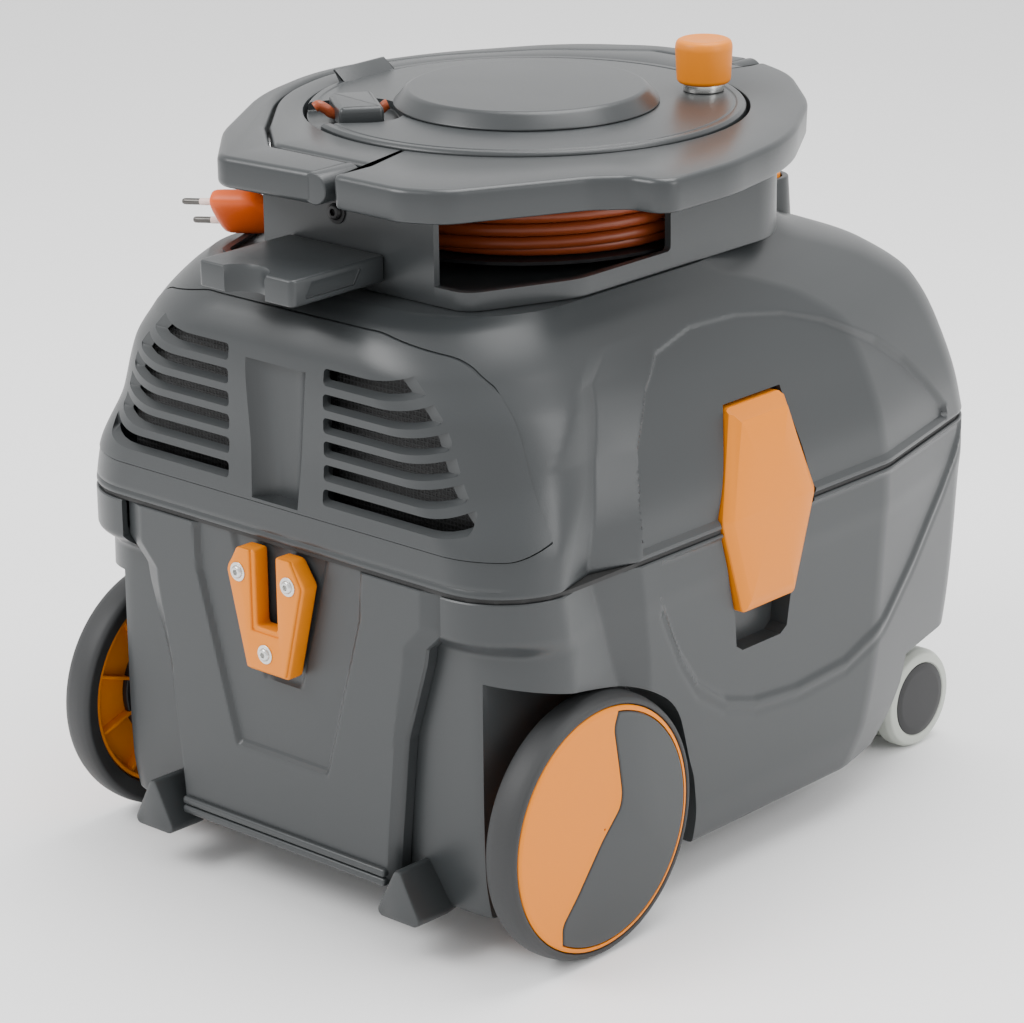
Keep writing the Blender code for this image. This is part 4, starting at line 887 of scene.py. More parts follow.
def lug(outline, low, high, sign, edge=0.0005):
    # a side-view outline made solid between two distances from the middle plane
    near, far = span(sign, low, high)
    return plate(outline, near, far, edge, "X")


def makeTub():
    # outer rows from the floor up, inner rows back down, then rings that close the floor
    heights = np.concatenate([[0.030, 0.0304, 0.0315, 0.033], np.linspace(0.035, 0.2268, 118),
                              [0.2277, tub["rim"]]])
    outer = bodyGrid(tub["stations"], heights, tub["counts"])
    edgeCut = np.zeros(len(heights))
    edgeCut[:3] = tub["lowEdge"]
    edgeCut[-1] = tub["topEdge"]
    y, z = outer[..., 1], outer[..., 2]
    side = sideFacing(outer)
    above = z - np.interp(y, crest[:, 0], crest[:, 1], left=0.4, right=0.4)
    depth = side * pillarDepth(y, z) * smoothStep(z, 0.10, 0.15)
    depth += side * tub["step"] * smoothStep(above, -0.0022, 0.0024) * smoothStep(0.2262 - z, 0, 0.0016)
    depth += side * tub["groove"] * np.exp(-((above + 0.0080) / 0.0022) ** 2)
    outer = pushIn(outer, depth + edgeCut[:, None])
    inner = bodyGrid(tub["stations"], np.linspace(tub["rim"], tub["floor"], 12), tub["counts"], tub["wall"])
    byWheel = (inner[..., 1] < -0.050) & (inner[..., 2] < 0.187)
    limit = np.where(byWheel, tub["wheelWall"], tub["sideWall"])
    inner[..., 0] = np.clip(inner[..., 0], -limit, limit)
    shrink = np.array(tub["floorRings"])[:, None, None]
    floorRows = inner[-1][None] * np.array([1, 1, 0]) * shrink + np.array([0, 0, tub["floor"]])
    whole = np.concatenate([outer, inner, floorRows])
    overCaster = (np.abs(whole[..., 0]) > 0.049) & (whole[..., 1] > 0.124)
    overCaster[:len(outer)] = False
    whole[..., 2] = np.where(overCaster, np.maximum(whole[..., 2], tub["casterRoof"]), whole[..., 2])
    piece = newPiece("tubShell", [(whole, False, True, True, True)], 28)
    for sign, _ in bothSides:
        x, y = tub["swivelAt"]
        cutAway(piece, lug(softProfile(wheelArch, 0.016, 6, True), 0.148, 0.215, sign))
        cutAway(piece, lug(np.array(tub["casterRoom"]), 0.064, 0.22, sign, 0.0002))
        cutAway(piece, turned(tub["swivelWell"], "Z", (sign * x, y, 0), 64))
        cutAway(piece, latchPocket(sign, tub["latchLow"]))
    bore = [(inlet["bore"], 0.21), (inlet["bore"], 0.27)]
    cutAway(piece, turned(bore, "Y", (0, 0, inlet["height"]), 64))
    cutAway(piece, plate(tub["panelSeat"], -0.26, -0.2192, 0.0002, "Y"))
    return finish(piece, bodyPlastic, "tub", "body_grey", "lower_tub")


def makeHead():
    # inner rows from the roof down, outer rows back up, then the crown that closes the top
    heights = np.concatenate([[0.2315, 0.2322, 0.2330], np.linspace(0.2343, 0.3660, 100),
                              np.linspace(0.3668, 0.3735, 8)])
    outer = bodyGrid(head["stations"], heights, head["counts"])
    y, z = outer[..., 1], outer[..., 2]
    side = sideFacing(outer)
    below = np.interp(y, arch[:, 0], arch[:, 1], left=0.0, right=0.0) - z
    depth = side * pillarDepth(y, z)
    depth += side * head["step"] * smoothStep(below, -0.0010, 0.0042) * smoothStep(z, 0.2345, 0.2370)
    depth += head["groove"] * np.exp(-((z - head["grooveAt"]) / 0.0008) ** 2) * (1 - side)
    edgeCut = np.zeros(len(heights))
    edgeCut[:2] = head["lowEdge"]
    outer = pushIn(outer, depth + edgeCut[:, None])
    crown = outer[-1:] * (head["crown"], head["crown"], 1) + (0, -0.0002, 0.0001)
    inner = bodyGrid(head["stations"], np.linspace(0.3700, 0.2315, 10), head["counts"], head["wall"])
    inner[..., 0] = np.clip(inner[..., 0], -head["sideWall"], head["sideWall"])
    inner[..., 1] = np.maximum(inner[..., 1], head["rearWall"])
    whole = np.concatenate([inner, outer, crown])
    piece = newPiece("headShell", [(whole, False, True, True, True)], 28)
    cutAway(piece, plate(arcCorners(mirrored(head["cover"]), 10), -0.27, -0.192, 0.0004, "Y"))
    for sign, _ in bothSides:
        cutAway(piece, latchPocket(sign, head["latchLow"]))
    bore = [(head["buttonBore"], 0.340), (head["buttonBore"], 0.39)]
    cutAway(piece, turned(bore, "Z", head["buttonAt"], 48))
    finish(lathe("buttonCollar", collar, head["buttonAt"], closed=True), bodyPlastic, "head", "body_grey")
    return finish(piece, bodyPlastic, "head", "body_grey", "upper_housing")


makeTub()
print("tub made")
makeHead()
print("head made")

# Exhaust cover: the rear of the head again, a little proud, hollow and opened by slanting slots.
cover = {"proud": 0.0006, "counts": (26, 6, 6, 6, 150), "roomCounts": (12, 4, 4, 4, 40), "wall": 0.0036,
         "room": [(0.150, 0.2565, 0.010), (0.150, 0.314, 0.020), (0.100, 0.352, 0.020)],
         "liner": [(-0.0315, 0.20), (0.0315, 0.20), (0.0315, 0.343), (-0.0315, 0.343)],
         "channelZ": (0.2545, 0.3370), "channelHalf": (0.0195, 0.0284), "channelRim": -0.2195,
         "channelDepth": 0.0145, "slots": 6, "slotLow": 0.2650, "slotPitch": 0.0137, "slotTall": 0.0092,
         "slotNear": 0.0385, "slotFar": 0.147, "slotShorter": 0.0062, "slant": 0.62,
         "mesh": [(0.034, 0.258), (0.138, 0.258), (0.134, 0.310), (0.092, 0.346), (0.034, 0.346)]}


def wandChannel():
    # the channel that guides a wand: its floor is flat in the middle and round at its sides
    u = np.linspace(-1, 1, 25)
    rows = []
    for z in np.linspace(*cover["channelZ"], 8):
        half = np.interp(z, cover["channelZ"], cover["channelHalf"])
        floor = cover["channelRim"] - cover["channelDepth"] * np.abs(u) ** 4
        rim = np.column_stack([u * half, floor, np.full(len(u), z)])
        back = np.array([(half * 1.05, -0.26, z), (-half * 1.05, -0.26, z)])
        rows.append(np.vstack([rim, back]))
    return np.array(rows), False, True, True, True


def exhaustSlots():
    # six a side, each row shorter than the one below; they slant down towards the inside
    slots = []
    for way, _ in bothSides:
        for row in range(cover["slots"]):
            z = cover["slotLow"] + row * cover["slotPitch"]
            far = cover["slotFar"] - cover["slotShorter"] * row - (0.006 if row > 4 else 0)
            low, high = span(way, cover["slotNear"], far)
            outline = roundedBox(low, high, z, z + cover["slotTall"], 0.0025, 4)
            slot = plate(outline, -0.262, -0.2185, 0.0001, "Y", steps=1)
            slot[0][..., 2] += (slot[0][..., 1] + 0.2260) * cover["slant"]
            slots.append(slot)
    return slots


def makeCover():
    outer = bodyGrid(head["stations"], np.linspace(0.2490, 0.3680, 84), cover["counts"], -cover["proud"])
    piece = newPiece("exhaustCover", [(outer, False, True, True, True)], 28)
    outline = inset(arcCorners(mirrored(head["cover"]), 12), cover["proud"])
    carve(piece, newPiece("cutter", [plate(outline, -0.27, -0.1923, 0.0003, "Y")]), "INTERSECT", 28)
    hollow = bodyGrid(head["stations"], np.linspace(0.250, 0.368, 30), cover["roomCounts"], cover["wall"])
    room = newPiece("room", [(hollow, False, True, True, True)], 28)
    inside = plate(arcCorners(mirrored(cover["room"]), 6), -0.27, -0.180, 0.0002, "Y")
    carve(room, newPiece("cutter", [inside]), "INTERSECT")
    cutAway(room, plate(cover["liner"], -0.27, -0.2150, 0.0002, "Y"))
    carve(piece, room, sharp=28)
    cutAway(piece, wandChannel())
    cutAway(piece, *exhaustSlots())
    finish(piece, panelPlastic, "head", "body_grey", "exhaust_cover")
    for way, label in bothSides:
        sheet = plate(np.array(cover["mesh"]) * (way, 1), -0.2120, -0.2100, 0.0002, "Y")
        finish(newPiece("exhaustMesh" + label, [sheet]), grillePlastic, "head", "black_plastic")


makeCover()
print("exhaust cover made")

# Rear of the tub.
panel = {"y": -0.233, "back": -0.2195, "z": (0.040, 0.069, 0.133, 0.181, 0.192, 0.206, 0.2285),
         "half": (0.0895, 0.092, 0.099, 0.114, 0.1160, 0.131, 0.131),
         "lowEdge": (0.0024, 0.0012, 0.0003), "topEdge": 0.0007,
         "big": ((0.096, 0.199, 0.2285), (0.039, 0.068, 0.070)), "bigDepth": 0.0032,
         "small": ((0.144, 0.2285), (0.016, 0.040)), "smallDepth": 0.0020,
         "ridge": ((0.124, 0.206), (0.006, 0.016)), "ridgeDepth": 0.0052, "edge": 0.0012}
rail = {"lows": (0.0392, 0.0449), "half": 0.085, "tall": 0.0052, "round": 0.0022}
foot = {"x": 0.1027, "low": 0.0262,
        "stations": ((-0.2440, 0.0590, 0.0170, 0.0030), (-0.2436, 0.0606, 0.0180, 0.0032),
                     (-0.2424, 0.0615, 0.0186, 0.0034), (-0.2190, 0.0610, 0.0190, 0.0034),
                     (-0.2030, 0.0500, 0.0160, 0.0030), (-0.1890, 0.0330, 0.0080, 0.0010))}
bracket = {
    "shape": [(-0.0085, 0.180), (0.0085, 0.180), (0.0085, 0.2265), (0.022, 0.2265), (0.032, 0.212),
              (0.017, 0.152), (-0.017, 0.152), (-0.032, 0.212), (-0.022, 0.2265), (-0.0085, 0.2265)],
    "step": [(-0.0112, 0.1772), (0.0112, 0.1772), (0.0112, 0.2266), (0.0214, 0.2266), (0.0300, 0.2115),
             (0.0158, 0.1535), (-0.0158, 0.1535), (-0.0300, 0.2115), (-0.0214, 0.2266), (-0.0112, 0.2266)],
    "face": -0.2435, "screw": 0.0040,
    "screws": (("left", -0.0205, 0.2115), ("right", 0.0205, 0.2115), ("bottom", 0.0, 0.1650))}


def makePanel():
    # a shaped face with two shields pressed into it, the smaller within the larger
    heights = np.concatenate([[0.0402, 0.0408, 0.0420], np.linspace(0.0435, 0.2270, 110), [0.2280, 0.2285]])
    lift = np.zeros(len(heights))
    lift[:3] = panel["lowEdge"]
    lift[-1] = panel["topEdge"]
    t = np.concatenate([[-1], np.linspace(-1, 1, 190), [1]])
    rows = []
    for z, drop in zip(heights, lift):
        half = np.interp(z, panel["z"], panel["half"])
        x = t * half
        big, small, ridge = (np.interp(z, *panel[key]) for key in ("big", "small", "ridge"))
        edge = half - np.abs(x)
        depth = panel["bigDepth"] * smoothStep(big - np.abs(x), 0, 0.0040) * smoothStep(z, 0.0950, 0.0985)
        depth += (panel["smallDepth"] * smoothStep(small - np.abs(x), -0.0010, 0.0035)
                  * smoothStep(z, 0.1430, 0.1455))
        depth += panel["ridgeDepth"] * (1 - np.clip(edge / ridge, 0, 1))
        depth += panel["edge"] * (1 - np.clip(edge / panel["edge"], 0, 1))
        y = panel["y"] + depth + drop
        y[[0, -1]] = panel["back"]
        rows.append(np.column_stack([x, y, np.full(len(x), z)]))
    piece = newPiece("rearPanel", [(np.array(rows), False, True, True, True)], 24)
    finish(piece, panelPlastic, "tub", "body_grey", "rear_panel")
    bars = []
    for low in rail["lows"]:
        outline = roundedBox(-rail["half"], rail["half"], low, low + rail["tall"], rail["round"], 5)
        bars.append(plate(outline, -0.2362, -0.2280, 0.0018, "Y"))
    finish(newPiece("bottomRail", bars), bodyPlastic, "tub", "body_grey")


def makeFeet():
    # triangles (y, top, half width, corner round) that grow towards the rear
    for sign, label in bothSides:
        rows = []
        for y, top, half, corner in foot["stations"]:
            low = foot["low"]
            outline = arcCorners([(-half, low, corner), (half, low, corner), (0.0, top, corner)], 5)
            rows.append([(sign * foot["x"] + u, y, z) for u, z in outline])
        piece = newPiece("rearFoot" + label, [(np.array(rows), False, True, True, True)])
        finish(piece, bodyPlastic, "tub", "body_grey", "rear_foot_" + label.lower())


def makeScrew(name, at, axis, radius, body, material, slot, *nodes):
    # a domed screw with a six-sided socket, on its washer; its head is on the low side of the axis
    dome = [(radius * u, radius * w)
            for u, w in ((0.05, -0.62), (0.78, -0.60), (1, -0.34), (1, 0), (0.05, 0))]
    flat = [(radius * u, w) for u, w in ((0.3, -0.0007), (1.45, -0.0007), (1.45, 0.0), (0.3, 0.0))]
    top = {"profile": dome, "round": radius * 0.2, "steps": 4, "sides": 40, "sharp": 30}
    washer = {"profile": flat, "round": 0.0003, "steps": 3, "sides": 40, "sharp": 30}
    piece = lathe(name, top, at, axis)
    socket = [(radius * 0.48, -radius), (radius * 0.48, -radius * 0.15)]
    cutAway(piece, turned(socket, axis, at, 6), sharp=30)
    finish(piece, material, body, slot, *nodes)
    finish(lathe(name + "Washer", washer, at, axis), material, body, slot)


def makeBracket():
    outline = softProfile(bracket["shape"], 0.0024, 4, True)
    step = softProfile(bracket["step"], 0.0014, 4, True)
    surfaces = [plate(outline, -0.2418, -0.2300, 0.0016, "Y", steps=3),
                plate(step, bracket["face"], -0.2405, 0.0011, "Y", steps=3)]
    piece = newPiece("parkingBracket", surfaces)
    finish(piece, orangePlastic, "tub", "bright_orange", "parking_bracket")
    for label, x, z in bracket["screws"]:
        makeScrew("bracketScrew" + label.capitalize(), (x, bracket["face"], z), "Y", bracket["screw"],
                  "tub", steel, "steel", "bracket_screw_" + label)


makePanel()
makeFeet()
makeBracket()
hoseInlet = lathe("hoseInlet", inlet, (0, 0, inlet["height"]), "Y", True)
finish(hoseInlet, blackPlastic, "tub", "black_plastic", "hose_inlet")
print("rear panel and fittings made")

# Top: ring, column, handle and wand rest. Corners are (x, y, radius).
ring = {
    "right": [
        (0.033, -0.2115, 0.0045), (0.084, -0.2115, 0.030), (0.108, -0.2000, 0.030), (0.148, -0.1240, 0.026),
        (0.164, -0.1085, 0.012), (0.188, -0.1050, 0.014), (0.188, -0.0450, 0.120), (0.174, 0.0250, 0.180),
        (0.123, 0.1060, 0.150), (0.068, 0.1590, 0.100), (0.033, 0.1740, 0.0045)],
    "left": [
        (0.033, 0.1560, 0.0045), (-0.040, 0.1560, 0.014), (-0.094, 0.1180, 0.080), (-0.138, 0.0600, 0.150),
        (-0.160, -0.0115, 0.180), (-0.138, -0.0830, 0.150), (-0.082, -0.1470, 0.060),
        (-0.045, -0.1795, 0.014), (0.033, -0.1795, 0.0045)],
    "hole": [(0.1185, 0.4304), (0.1185, 0.4380), (0.1338, 0.4382), (0.1338, 0.4488), (0.1342, 0.4496),
             (0.1350, 0.4500)],
    "top": 0.4500, "edge": 0.0036, "rim": [(0.0006, 0.4325), (0.0012, 0.4310), (0.0022, 0.4303)],
    "under": (0.1190, 0.4300), "points": 620}
column = {"right": [(0.100, -0.175, 0.015), (0.128, -0.110, 0.04), (0.128, 0.070, 0.05),
                    (0.078, 0.1280, 0.05)],
          "wall": 0.0045, "low": 0.3738, "high": 0.4297, "points": 420, "screw": 0.0050,
          "windows": ((1, 0.076, 0.385), (-1, 0.060, 0.3765))}
handle = {
    "shape": [
        (0.020, 0.1800, 0.0048), (-0.052, 0.1740, 0.060), (-0.104, 0.1420, 0.120), (-0.150, 0.0680, 0.180),
        (-0.174, -0.0115, 0.180), (-0.150, -0.0900, 0.180), (-0.098, -0.1700, 0.120),
        (-0.052, -0.2185, 0.016), (0.020, -0.2130, 0.0048), (0.020, -0.1812, 0.0048),
        (-0.0455, -0.1812, 0.014), (-0.0835, -0.1482, 0.060), (-0.1394, -0.0834, 0.150),
        (-0.1617, -0.0115, 0.180), (-0.1394, 0.0604, 0.150), (-0.095, 0.1192, 0.080),
        (-0.0405, 0.1577, 0.015), (0.020, 0.1577, 0.0048)],
    "height": 0.440, "half": 0.0095, "pinX": 0.020, "knuckle": 0.0094,
    "knuckles": ((-0.2130, -0.1820), (0.1585, 0.1795))}
rest = {"block": [(0.038, -0.1756, 0.0020), (0.038, -0.2496, 0.0040), (-0.038, -0.2496, 0.0040),
                  (-0.038, -0.1756, 0.0020)],
        "low": 0.3815, "high": 0.3972, "scoopY": -0.2560, "bead": 0.0008, "beadHeight": 0.3970,
        "arcs": (0.0235, 0.0285), "lines": (-0.033, 0.033),
        "scoop": [(0.0175, 0.37), (0.0175, 0.3940), (0.0192, 0.3975), (0.0205, 0.41)],
        "dent": [(-0.240, 0.3848, 0.001), (-0.200, 0.3848, 0.001), (-0.194, 0.3938, 0.001),
                 (-0.234, 0.3938, 0.001)]}


def fitted(corners):
    # radii cut down where two arcs would meet along a side
    mostOfSide = 0.48
    out = []
    count = len(corners)
    for i, (u, v, radius) in enumerate(corners):
        back = np.array(corners[i - 1][:2]) - (u, v)
        ahead = np.array(corners[(i + 1) % count][:2]) - (u, v)
        near, far = np.hypot(*back), np.hypot(*ahead)
        half = math.acos(np.clip(back @ ahead / near / far, -1, 1)) / 2
        out.append((u, v, min(radius, mostOfSide * min(near, far) * math.tan(half))))
    return out


def makeRing():
    # a closed section that runs on a circle at the hole and on insets of the outline outside
    outline = resample(arcCorners(fitted(ring["right"] + ring["left"]), 12), ring["points"])
    angle = np.unwrap(np.arctan2(outline[:, 1] - reelY, outline[:, 0]))
    angle = (np.maximum if angle[-1] > angle[0] else np.minimum).accumulate(angle)
    circle = np.stack([np.cos(angle), np.sin(angle)], 1)
    section = [("in", *pair) for pair in ring["hole"]]
    section += [("out", ring["edge"] * (1 - math.sin(a)), ring["top"] - ring["edge"] * (1 - math.cos(a)))
                for a in np.linspace(0, 1.5, 6)]
    section += [("out", *pair) for pair in ring["rim"]] + [("in", *ring["under"])]
    points = np.empty((len(outline), len(section), 3))
    for j, (where, amount, z) in enumerate(section):
        points[:, j, :2] = circle * amount + (0, reelY) if where == "in" else inset(outline, amount)
        points[:, j, 2] = z
    piece = newPiece("topRing", [(points, True, True, False, False)], 30)
    finish(piece, topPlastic, "head", "body_grey", "top_ring")


def makeColumn():
    # a wall of even thickness, with a window on each side that shows the winding
    outline = resample(arcCorners(fitted(mirrored(column["right"])), 12), column["points"])
    wall = band(inset(outline, column["wall"]), outline, column["low"], column["high"], 0.0008)
    piece = newPiece("cableColumn", [wall], 30)
    for sign, edge, sill in column["windows"]:
        window = roundedBox(-0.20, -0.030, sill, 0.4267, 0.003, 5)
        cutAway(piece, lug(window, edge, 0.15, sign, 0.0003), sharp=30)
    finish(piece, bodyPlastic, "head", "body_grey", "cable_column")
    for label, at, axis in (("Rear", (0, -0.1753, 0.4165), "Y"), ("Right", (0.1283, 0.0150, 0.4180), "-X")):
        makeScrew("ringScrew" + label, at, axis, column["screw"], "head", blackPlastic, "black_plastic",
                  "ring_screw_" + label.lower())


def makeHandle():
    # a flat loop with a round knuckle over each pin
    half, radius = handle["half"], handle["knuckle"]
    grip = plate(arcCorners(fitted(handle["shape"]), 12), -half, half, 0.0040, "Z",
                 (0, 0, handle["height"]), 6)
    knuckles = []
    for low, high in handle["knuckles"]:
        profile = softProfile([(0.0006, low), (radius, low), (radius, high), (0.0006, high)], 0.0012, 4)
        knuckles.append(turned(profile, "Y", (handle["pinX"], 0, handle["height"]), 64))
    piece = newPiece("carryHandle", [grip] + knuckles, 30)
    finish(piece, topPlastic, "carry_handle", "body_grey", "carry_handle")


def makeRest():
    # a block with a scoop for the wand, raised beads on top and a dent in each side
    surfaces = [plate(arcCorners(rest["block"], 5), rest["low"], rest["high"], 0.0016, "Z", steps=4)]
    for radius in rest["arcs"]:
        a = np.linspace(0.32, math.pi - 0.32, 40)
        line = np.stack([radius * np.cos(a), rest["scoopY"] + radius * np.sin(a),
                         np.full(40, rest["beadHeight"])], 1)
        surfaces.append(sweep(line, rest["bead"], 10))
    for x in rest["lines"]:
        line = np.array([(x, y, rest["beadHeight"]) for y in np.linspace(-0.243, -0.182, 12)])
        surfaces.append(sweep(line, rest["bead"], 10))
    piece = newPiece("wandRest", surfaces)
    cutAway(piece, turned(rest["scoop"], "Z", (0, rest["scoopY"], 0), 96), sharp=32)
    for sign, _ in bothSides:
        cutAway(piece, lug(arcCorners(rest["dent"], 4), 0.0368, 0.05, sign, 0.0003), sharp=30)
    finish(piece, bodyPlastic, "head", "body_grey", "wand_rest")


makeRing()
makeColumn()
makeHandle()
makeRest()
print("ring, column, handle and wand rest made")

# Reel: crank disc, cap, knob and clamp.
reelAt = (0, reelY, 0)
knobAt = (0.063, 0.079, 0)
disc = {"profile": [(0.0008, 0.4440), (0.1306, 0.4440), (0.1316, 0.4450), (0.1316, 0.4503), (0.1300, 0.4520),
                    (0.1262, 0.4520), (0.1256, 0.4514), (0.1246, 0.4514), (0.1240, 0.4520), (0.0008, 0.4520)],
        "round": 0.0006, "steps": 3, "sides": 220, "sharp": 28,
        "recess": [(-0.026, -0.038, 0.022), (0.036, -0.027, 0.014), (0.036, 0.027, 0.014),
                   (-0.026, 0.038, 0.022)]}
tab = {"turn": math.radians(183), "radius": 0.1281, "height": 0.452, "half": 0.0235,
       "shape": [(-0.0075, -0.0035), (0.0045, 0.0065), (0.0062, 0.0066), (0.0024, 0.0008), (0.0, -0.0035)]}
clamp = {"half": (0.0135, 0.0225), "round": 0.003, "low": 0.4468, "high": 0.4588, "channel": 0.0037,
         "channelHeight": 0.4505}
cap = {"profile": [(0.0008, 0.4523), (0.0800, 0.4523), (0.0800, 0.4532), (0.0733, 0.4608), (0.0712, 0.4620),
                   (0.0008, 0.4620)], "round": 0.0010, "steps": 5, "sides": 180, "sharp": 28}
pin = {"profile": [(0.0006, 0.4523), (0.0125, 0.4523), (0.0125, 0.4567), (0.0040, 0.4567), (0.0040, 0.475),
                   (0.0006, 0.475)], "round": 0.0005, "steps": 3, "sides": 64, "sharp": 28}
knob = {"profile": [(0.0045, 0.4570), (0.0148, 0.4570), (0.0164, 0.4588), (0.0175, 0.4795), (0.0165, 0.4828),
                    (0.0138, 0.4840), (0.0120, 0.4838), (0.0006, 0.4832)],
        "round": 0.0018, "steps": 6, "sides": 96, "sharp": 28}
button = {"profile": [(0.0006, 0.3668), (0.0110, 0.3668), (0.0110, 0.3832), (0.0098, 0.3845),
                      (0.0080, 0.3841), (0.0006, 0.3833)],
          "round": 0.0008, "steps": 4, "sides": 64, "sharp": 28}


def makeDisc():
    # a turned disc with a recess round the clamp and a tab at its rim
    piece = lathe("crankDisc", disc, reelAt)
    recess = plate(arcCorners(disc["recess"], 12), 0.4465, 0.470, 0.0010, "Z", steps=4, topEdge=0.0001)
    cutAway(piece, onClamp(recess))
    points, *ends = plate(softProfile(tab["shape"], 0.0006, 3, True), -tab["half"], tab["half"], 0.0008,
                          "Y", steps=3)
    turn, radius = tab["turn"], tab["radius"]
    tabAt = (radius * math.cos(turn), reelY + radius * math.sin(turn), tab["height"])
    guide = newPiece("guideTab", [(placed(points, turn, tabAt), *ends)])
    finish(guide, topPlastic, "reel", "body_grey")
    finish(piece, topPlastic, "reel", "body_grey", "crank_disc")


def makeClamp():
    # a soft-topped block with a round channel for the cord
    u, v = clamp["half"]
    outline = roundedBox(-u, u, -v, v, clamp["round"], 6)
    block = plate(outline, clamp["low"], clamp["high"], 0.0008, "Z", steps=5, topEdge=0.0034)
    piece = newPiece("cordClamp", [onClamp(block)])
    channel = np.array([(u, 0, clamp["channelHeight"]) for u in np.linspace(-0.02, 0.02, 5)])
    cutAway(piece, onClamp(sweep(channel, clamp["channel"], 32)), sharp=32)
    finish(piece, topPlastic, "reel", "body_grey", "cord_clamp")


makeDisc()
makeClamp()
for name, shape, at, material, body, slot, node in (
        ("discCap", cap, reelAt, topPlastic, "reel", "body_grey", "disc_cap"),
        ("knobPin", pin, knobAt, steel, "reel", "steel", "knob_pin"),
        ("crankKnob", knob, knobAt, orangePlastic, "crank_knob", "bright_orange", "crank_knob"),
        ("powerButton", button, head["buttonAt"], orangePlastic, "power_button", "bright_orange",
         "power_button")):
    finish(lathe(name, shape, at), material, body, slot, node)
print("reel made")

# Wheels. Stations are measured from the inner face, or back from the outer face.
inner, face = 0.165, 0.189
wheel = {
    "at": (0, -0.160, 0.080), "ribs": 10, "firstRib": 18, "ribRadii": (0.021, 0.0625), "ribHalf": 0.0011,
    "tyre": {"profile": [
        (0.0662, inner + 0.0040), (0.0765, inner + 0.0006), (0.0790, inner + 0.0032),
        (0.0800, inner + 0.0075), (0.0800, inner + 0.0118), (0.0793, inner + 0.0175),
        (0.0776, face - 0.0024), (0.0762, face - 0.0012), (0.0742, face - 0.0012),
        (0.0736, face - 0.0060), (0.0662, face - 0.0060)],
        "round": 0.0022, "steps": 5, "sides": 180, "sharp": 28},
    "rim": {"profile": [
        (0.0064, inner + 0.0060), (0.0220, inner + 0.0060), (0.0240, face - 0.0100), (0.0600, face - 0.0100),
        (0.0630, inner + 0.0060), (0.0656, inner + 0.0060), (0.0656, face - 0.0057), (0.0731, face - 0.0057),
        (0.0737, face - 0.0016), (0.0715, face - 0.0006), (0.0006, face - 0.0006), (0.0006, face - 0.0060),
        (0.0064, face - 0.0060)], "round": 0.0010, "steps": 4, "sides": 180, "sharp": 28},
    "hub": {"profile": [(0.0225, inner + 0.0070), (0.0380, inner + 0.0090), (0.0380, face - 0.0102),
                        (0.0245, face - 0.0102)], "round": 0.0012, "steps": 4, "sides": 96, "sharp": 28},
    "insertRadius": 0.0700, "insertArc": (80, -122),
    "insertEdge": np.array([(-37, -59), (-37, -48), (-24, -34), (-2.4, -7), (13.6, 9), (15.6, 18),
                            (12.6, 37), (8.6, 60), (12, 68.4)]) / 1000}


def makeWheel(sign, label):
    # tyre, rim with ribs behind it, hub, and an insert set into the rim's face
    body = "wheel_" + label.lower()
    axis = "X" if sign > 0 else "-X"
    at = wheel["at"]
    tyre = lathe("tyre" + label, wheel["tyre"], at, axis, True)
    finish(tyre, tyreRubber, body, "tyre", "wheel_tyre_" + label.lower())
    rim = lathe("rim" + label, wheel["rim"], at, axis, True)
    a = np.radians(np.linspace(*wheel["insertArc"], 70))
    arc = wheel["insertRadius"] * np.stack([np.cos(a), np.sin(a)], 1)
    outline = np.vstack([arc, softProfile(wheel["insertEdge"], 0.004, 5)])
    cutAway(rim, plate(inset(outline, -0.0007), face - 0.0032, face + 0.004, 0.0002, axis, at, 1))
    ribs = []
    for k in range(wheel["ribs"]):
        a = math.radians(wheel["firstRib"] + 360 / wheel["ribs"] * k)
        ray = np.array([(math.cos(a) * r, math.sin(a) * r) for r in wheel["ribRadii"]])
        across = np.array([-math.sin(a), math.cos(a)]) * wheel["ribHalf"]
        corners = np.vstack([ray[0] - across, ray[1] - across, ray[1] + across, ray[0] + across])
        ribs.append(plate(corners, inner + 0.0085, face - 0.0098, 0.0004, axis, at, 2))
    finish(newPiece("rimRibs" + label, ribs), orangePlastic, body, "bright_orange")
    finish(rim, orangePlastic, body, "bright_orange", "wheel_rim_" + label.lower())
    pressed = plate(outline, face - 0.0030, face, 0.0002, axis, at, 4, 0.0012)
    insert = newPiece("wheelInsert" + label, [pressed])
    finish(insert, panelPlastic, body, "body_grey", "wheel_insert_" + label.lower())
    hub = lathe("hubCover" + label, wheel["hub"], at, axis, True)
    finish(hub, blackPlastic, body, "black_plastic")


for sign, label in bothSides:
    makeWheel(sign, label)
print("wheels made")

# Latches: rows are (inset, scale, outward x) from the back to the crown of the dome.
latch = {
    "shape": [(-0.0305, 0.174), (0.0185, 0.174), (0.0375, 0.234), (0.0190, 0.298), (-0.0310, 0.298),
              (-0.0495, 0.234)], "centre": (-0.006, 0.236),
    "rows": ((0.0006, 1, 0.1727), (0, 1, 0.1733), (0, 1, 0.1832), (0.0004, 1, 0.1840), (0.0028, 1, 0.1858),
             (0.0028, 0.93, 0.1872), (0.0028, 0.90, 0.1876), (0.0028, 0.6, 0.1883), (0.0028, 0.2, 0.1885)),
    "lean": -0.0085, "upper": 0.2865, "swing": (0.180, 0.009, 0.2915, 0.0050)}


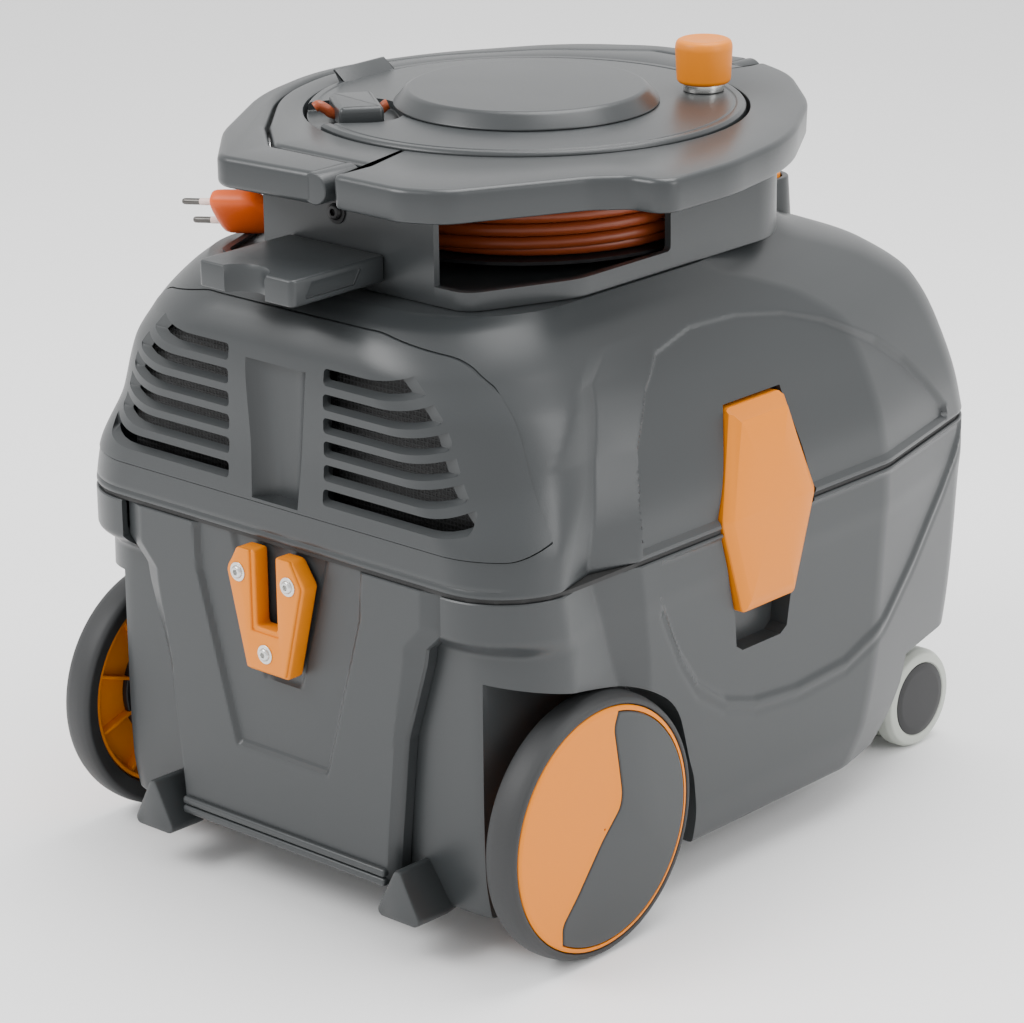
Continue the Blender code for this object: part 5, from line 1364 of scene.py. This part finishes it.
def makeLatch(sign, label):
    # a dome that leans in above its middle; its upper edge keeps clear of the head as it swings
    outline = softProfile(latch["shape"], 0.0030, 5, True)
    centre = np.array(latch["centre"])
    farthest, less, middle, reach = latch["swing"]
    rows = []
    for cut, scale, outward in latch["rows"]:
        y, z = (centre + (inset(outline, cut) - centre) * scale).T
        x = outward + latch["lean"] * np.clip((z - centre[1]) / 0.062, 0, 1) ** 1.2
        swing = farthest - less * np.clip((z - middle) / reach, -1, 1)
        x = np.where(z > latch["upper"], np.minimum(x, swing), x)
        rows.append(np.column_stack([sign * x, y, z]))
    piece = newPiece("latch" + label, [(np.array(rows), False, True, True, True)], 24)
    finish(piece, orangePlastic, "latch_" + label.lower(), "bright_orange", "latch_" + label.lower())


for sign, label in bothSides:
    makeLatch(sign, label)

# Casters: each has two wheels, with their stations measured from the middle between them.
caster = {
    "at": (0.1147, 0.2157, 0.033),
    "tread": {"profile": [
        (0.0030, 0.0060), (0.0308, 0.0060), (0.0330, 0.0088), (0.0330, 0.0168), (0.0308, 0.0208),
        (0.0252, 0.0216), (0.0246, 0.0204), (0.0030, 0.0204)],
        "round": 0.0012, "steps": 4, "sides": 96, "sharp": 28},
    "cap": {"profile": [(0.0006, 0.0198), (0.0244, 0.0198), (0.0244, 0.0212), (0.0200, 0.0219),
                        (0.0006, 0.0220)], "round": 0.0008, "steps": 4, "sides": 96, "sharp": 28}}


def makeCaster(sign, label):
    x, y, z = caster["at"]
    body = "caster_wheel_" + label.lower()
    for part, way in (("outer", sign), ("inner", -sign)):
        axis = "X" if way > 0 else "-X"
        ending = part.capitalize() + label
        tread = lathe("casterTread" + ending, caster["tread"], (x * sign, y, z), axis, True)
        finish(tread, casterRubber, body, "caster_rubber", "caster_wheel_" + part + "_" + label.lower())
        cover = lathe("casterCap" + ending, caster["cap"], (x * sign, y, z), axis)
        finish(cover, blackPlastic, body, "black_plastic")


for sign, label in bothSides:
    makeCaster(sign, label)
print("latches and casters made")

# Carried-over pieces take the same finishes.
carried = (
    (blackPlastic, ("bag_holder", "caster_fork_right", "caster_fork_left", "motor_deck", "reel_drum")),
    (fleece, ("dust_bag",)), (foam, ("exhaust_filter", "motor_filter")), (motorMetal, ("motor_unit",)),
    (sealRubber, ("main_gasket",)),
    (steel, ("axle_right", "axle_left", "caster_axle_right", "caster_axle_left", "handle_pin_rear",
             "handle_pin_front", "latch_pin_right", "latch_pin_left", "reel_spindle")))
for material, names in carried:
    for name in names:
        dress(name, material)
for side in ("right", "left"):
    softEdges(frame["nodes"]["caster_fork_" + side], 0.0012)

bpy.context.view_layer.update()
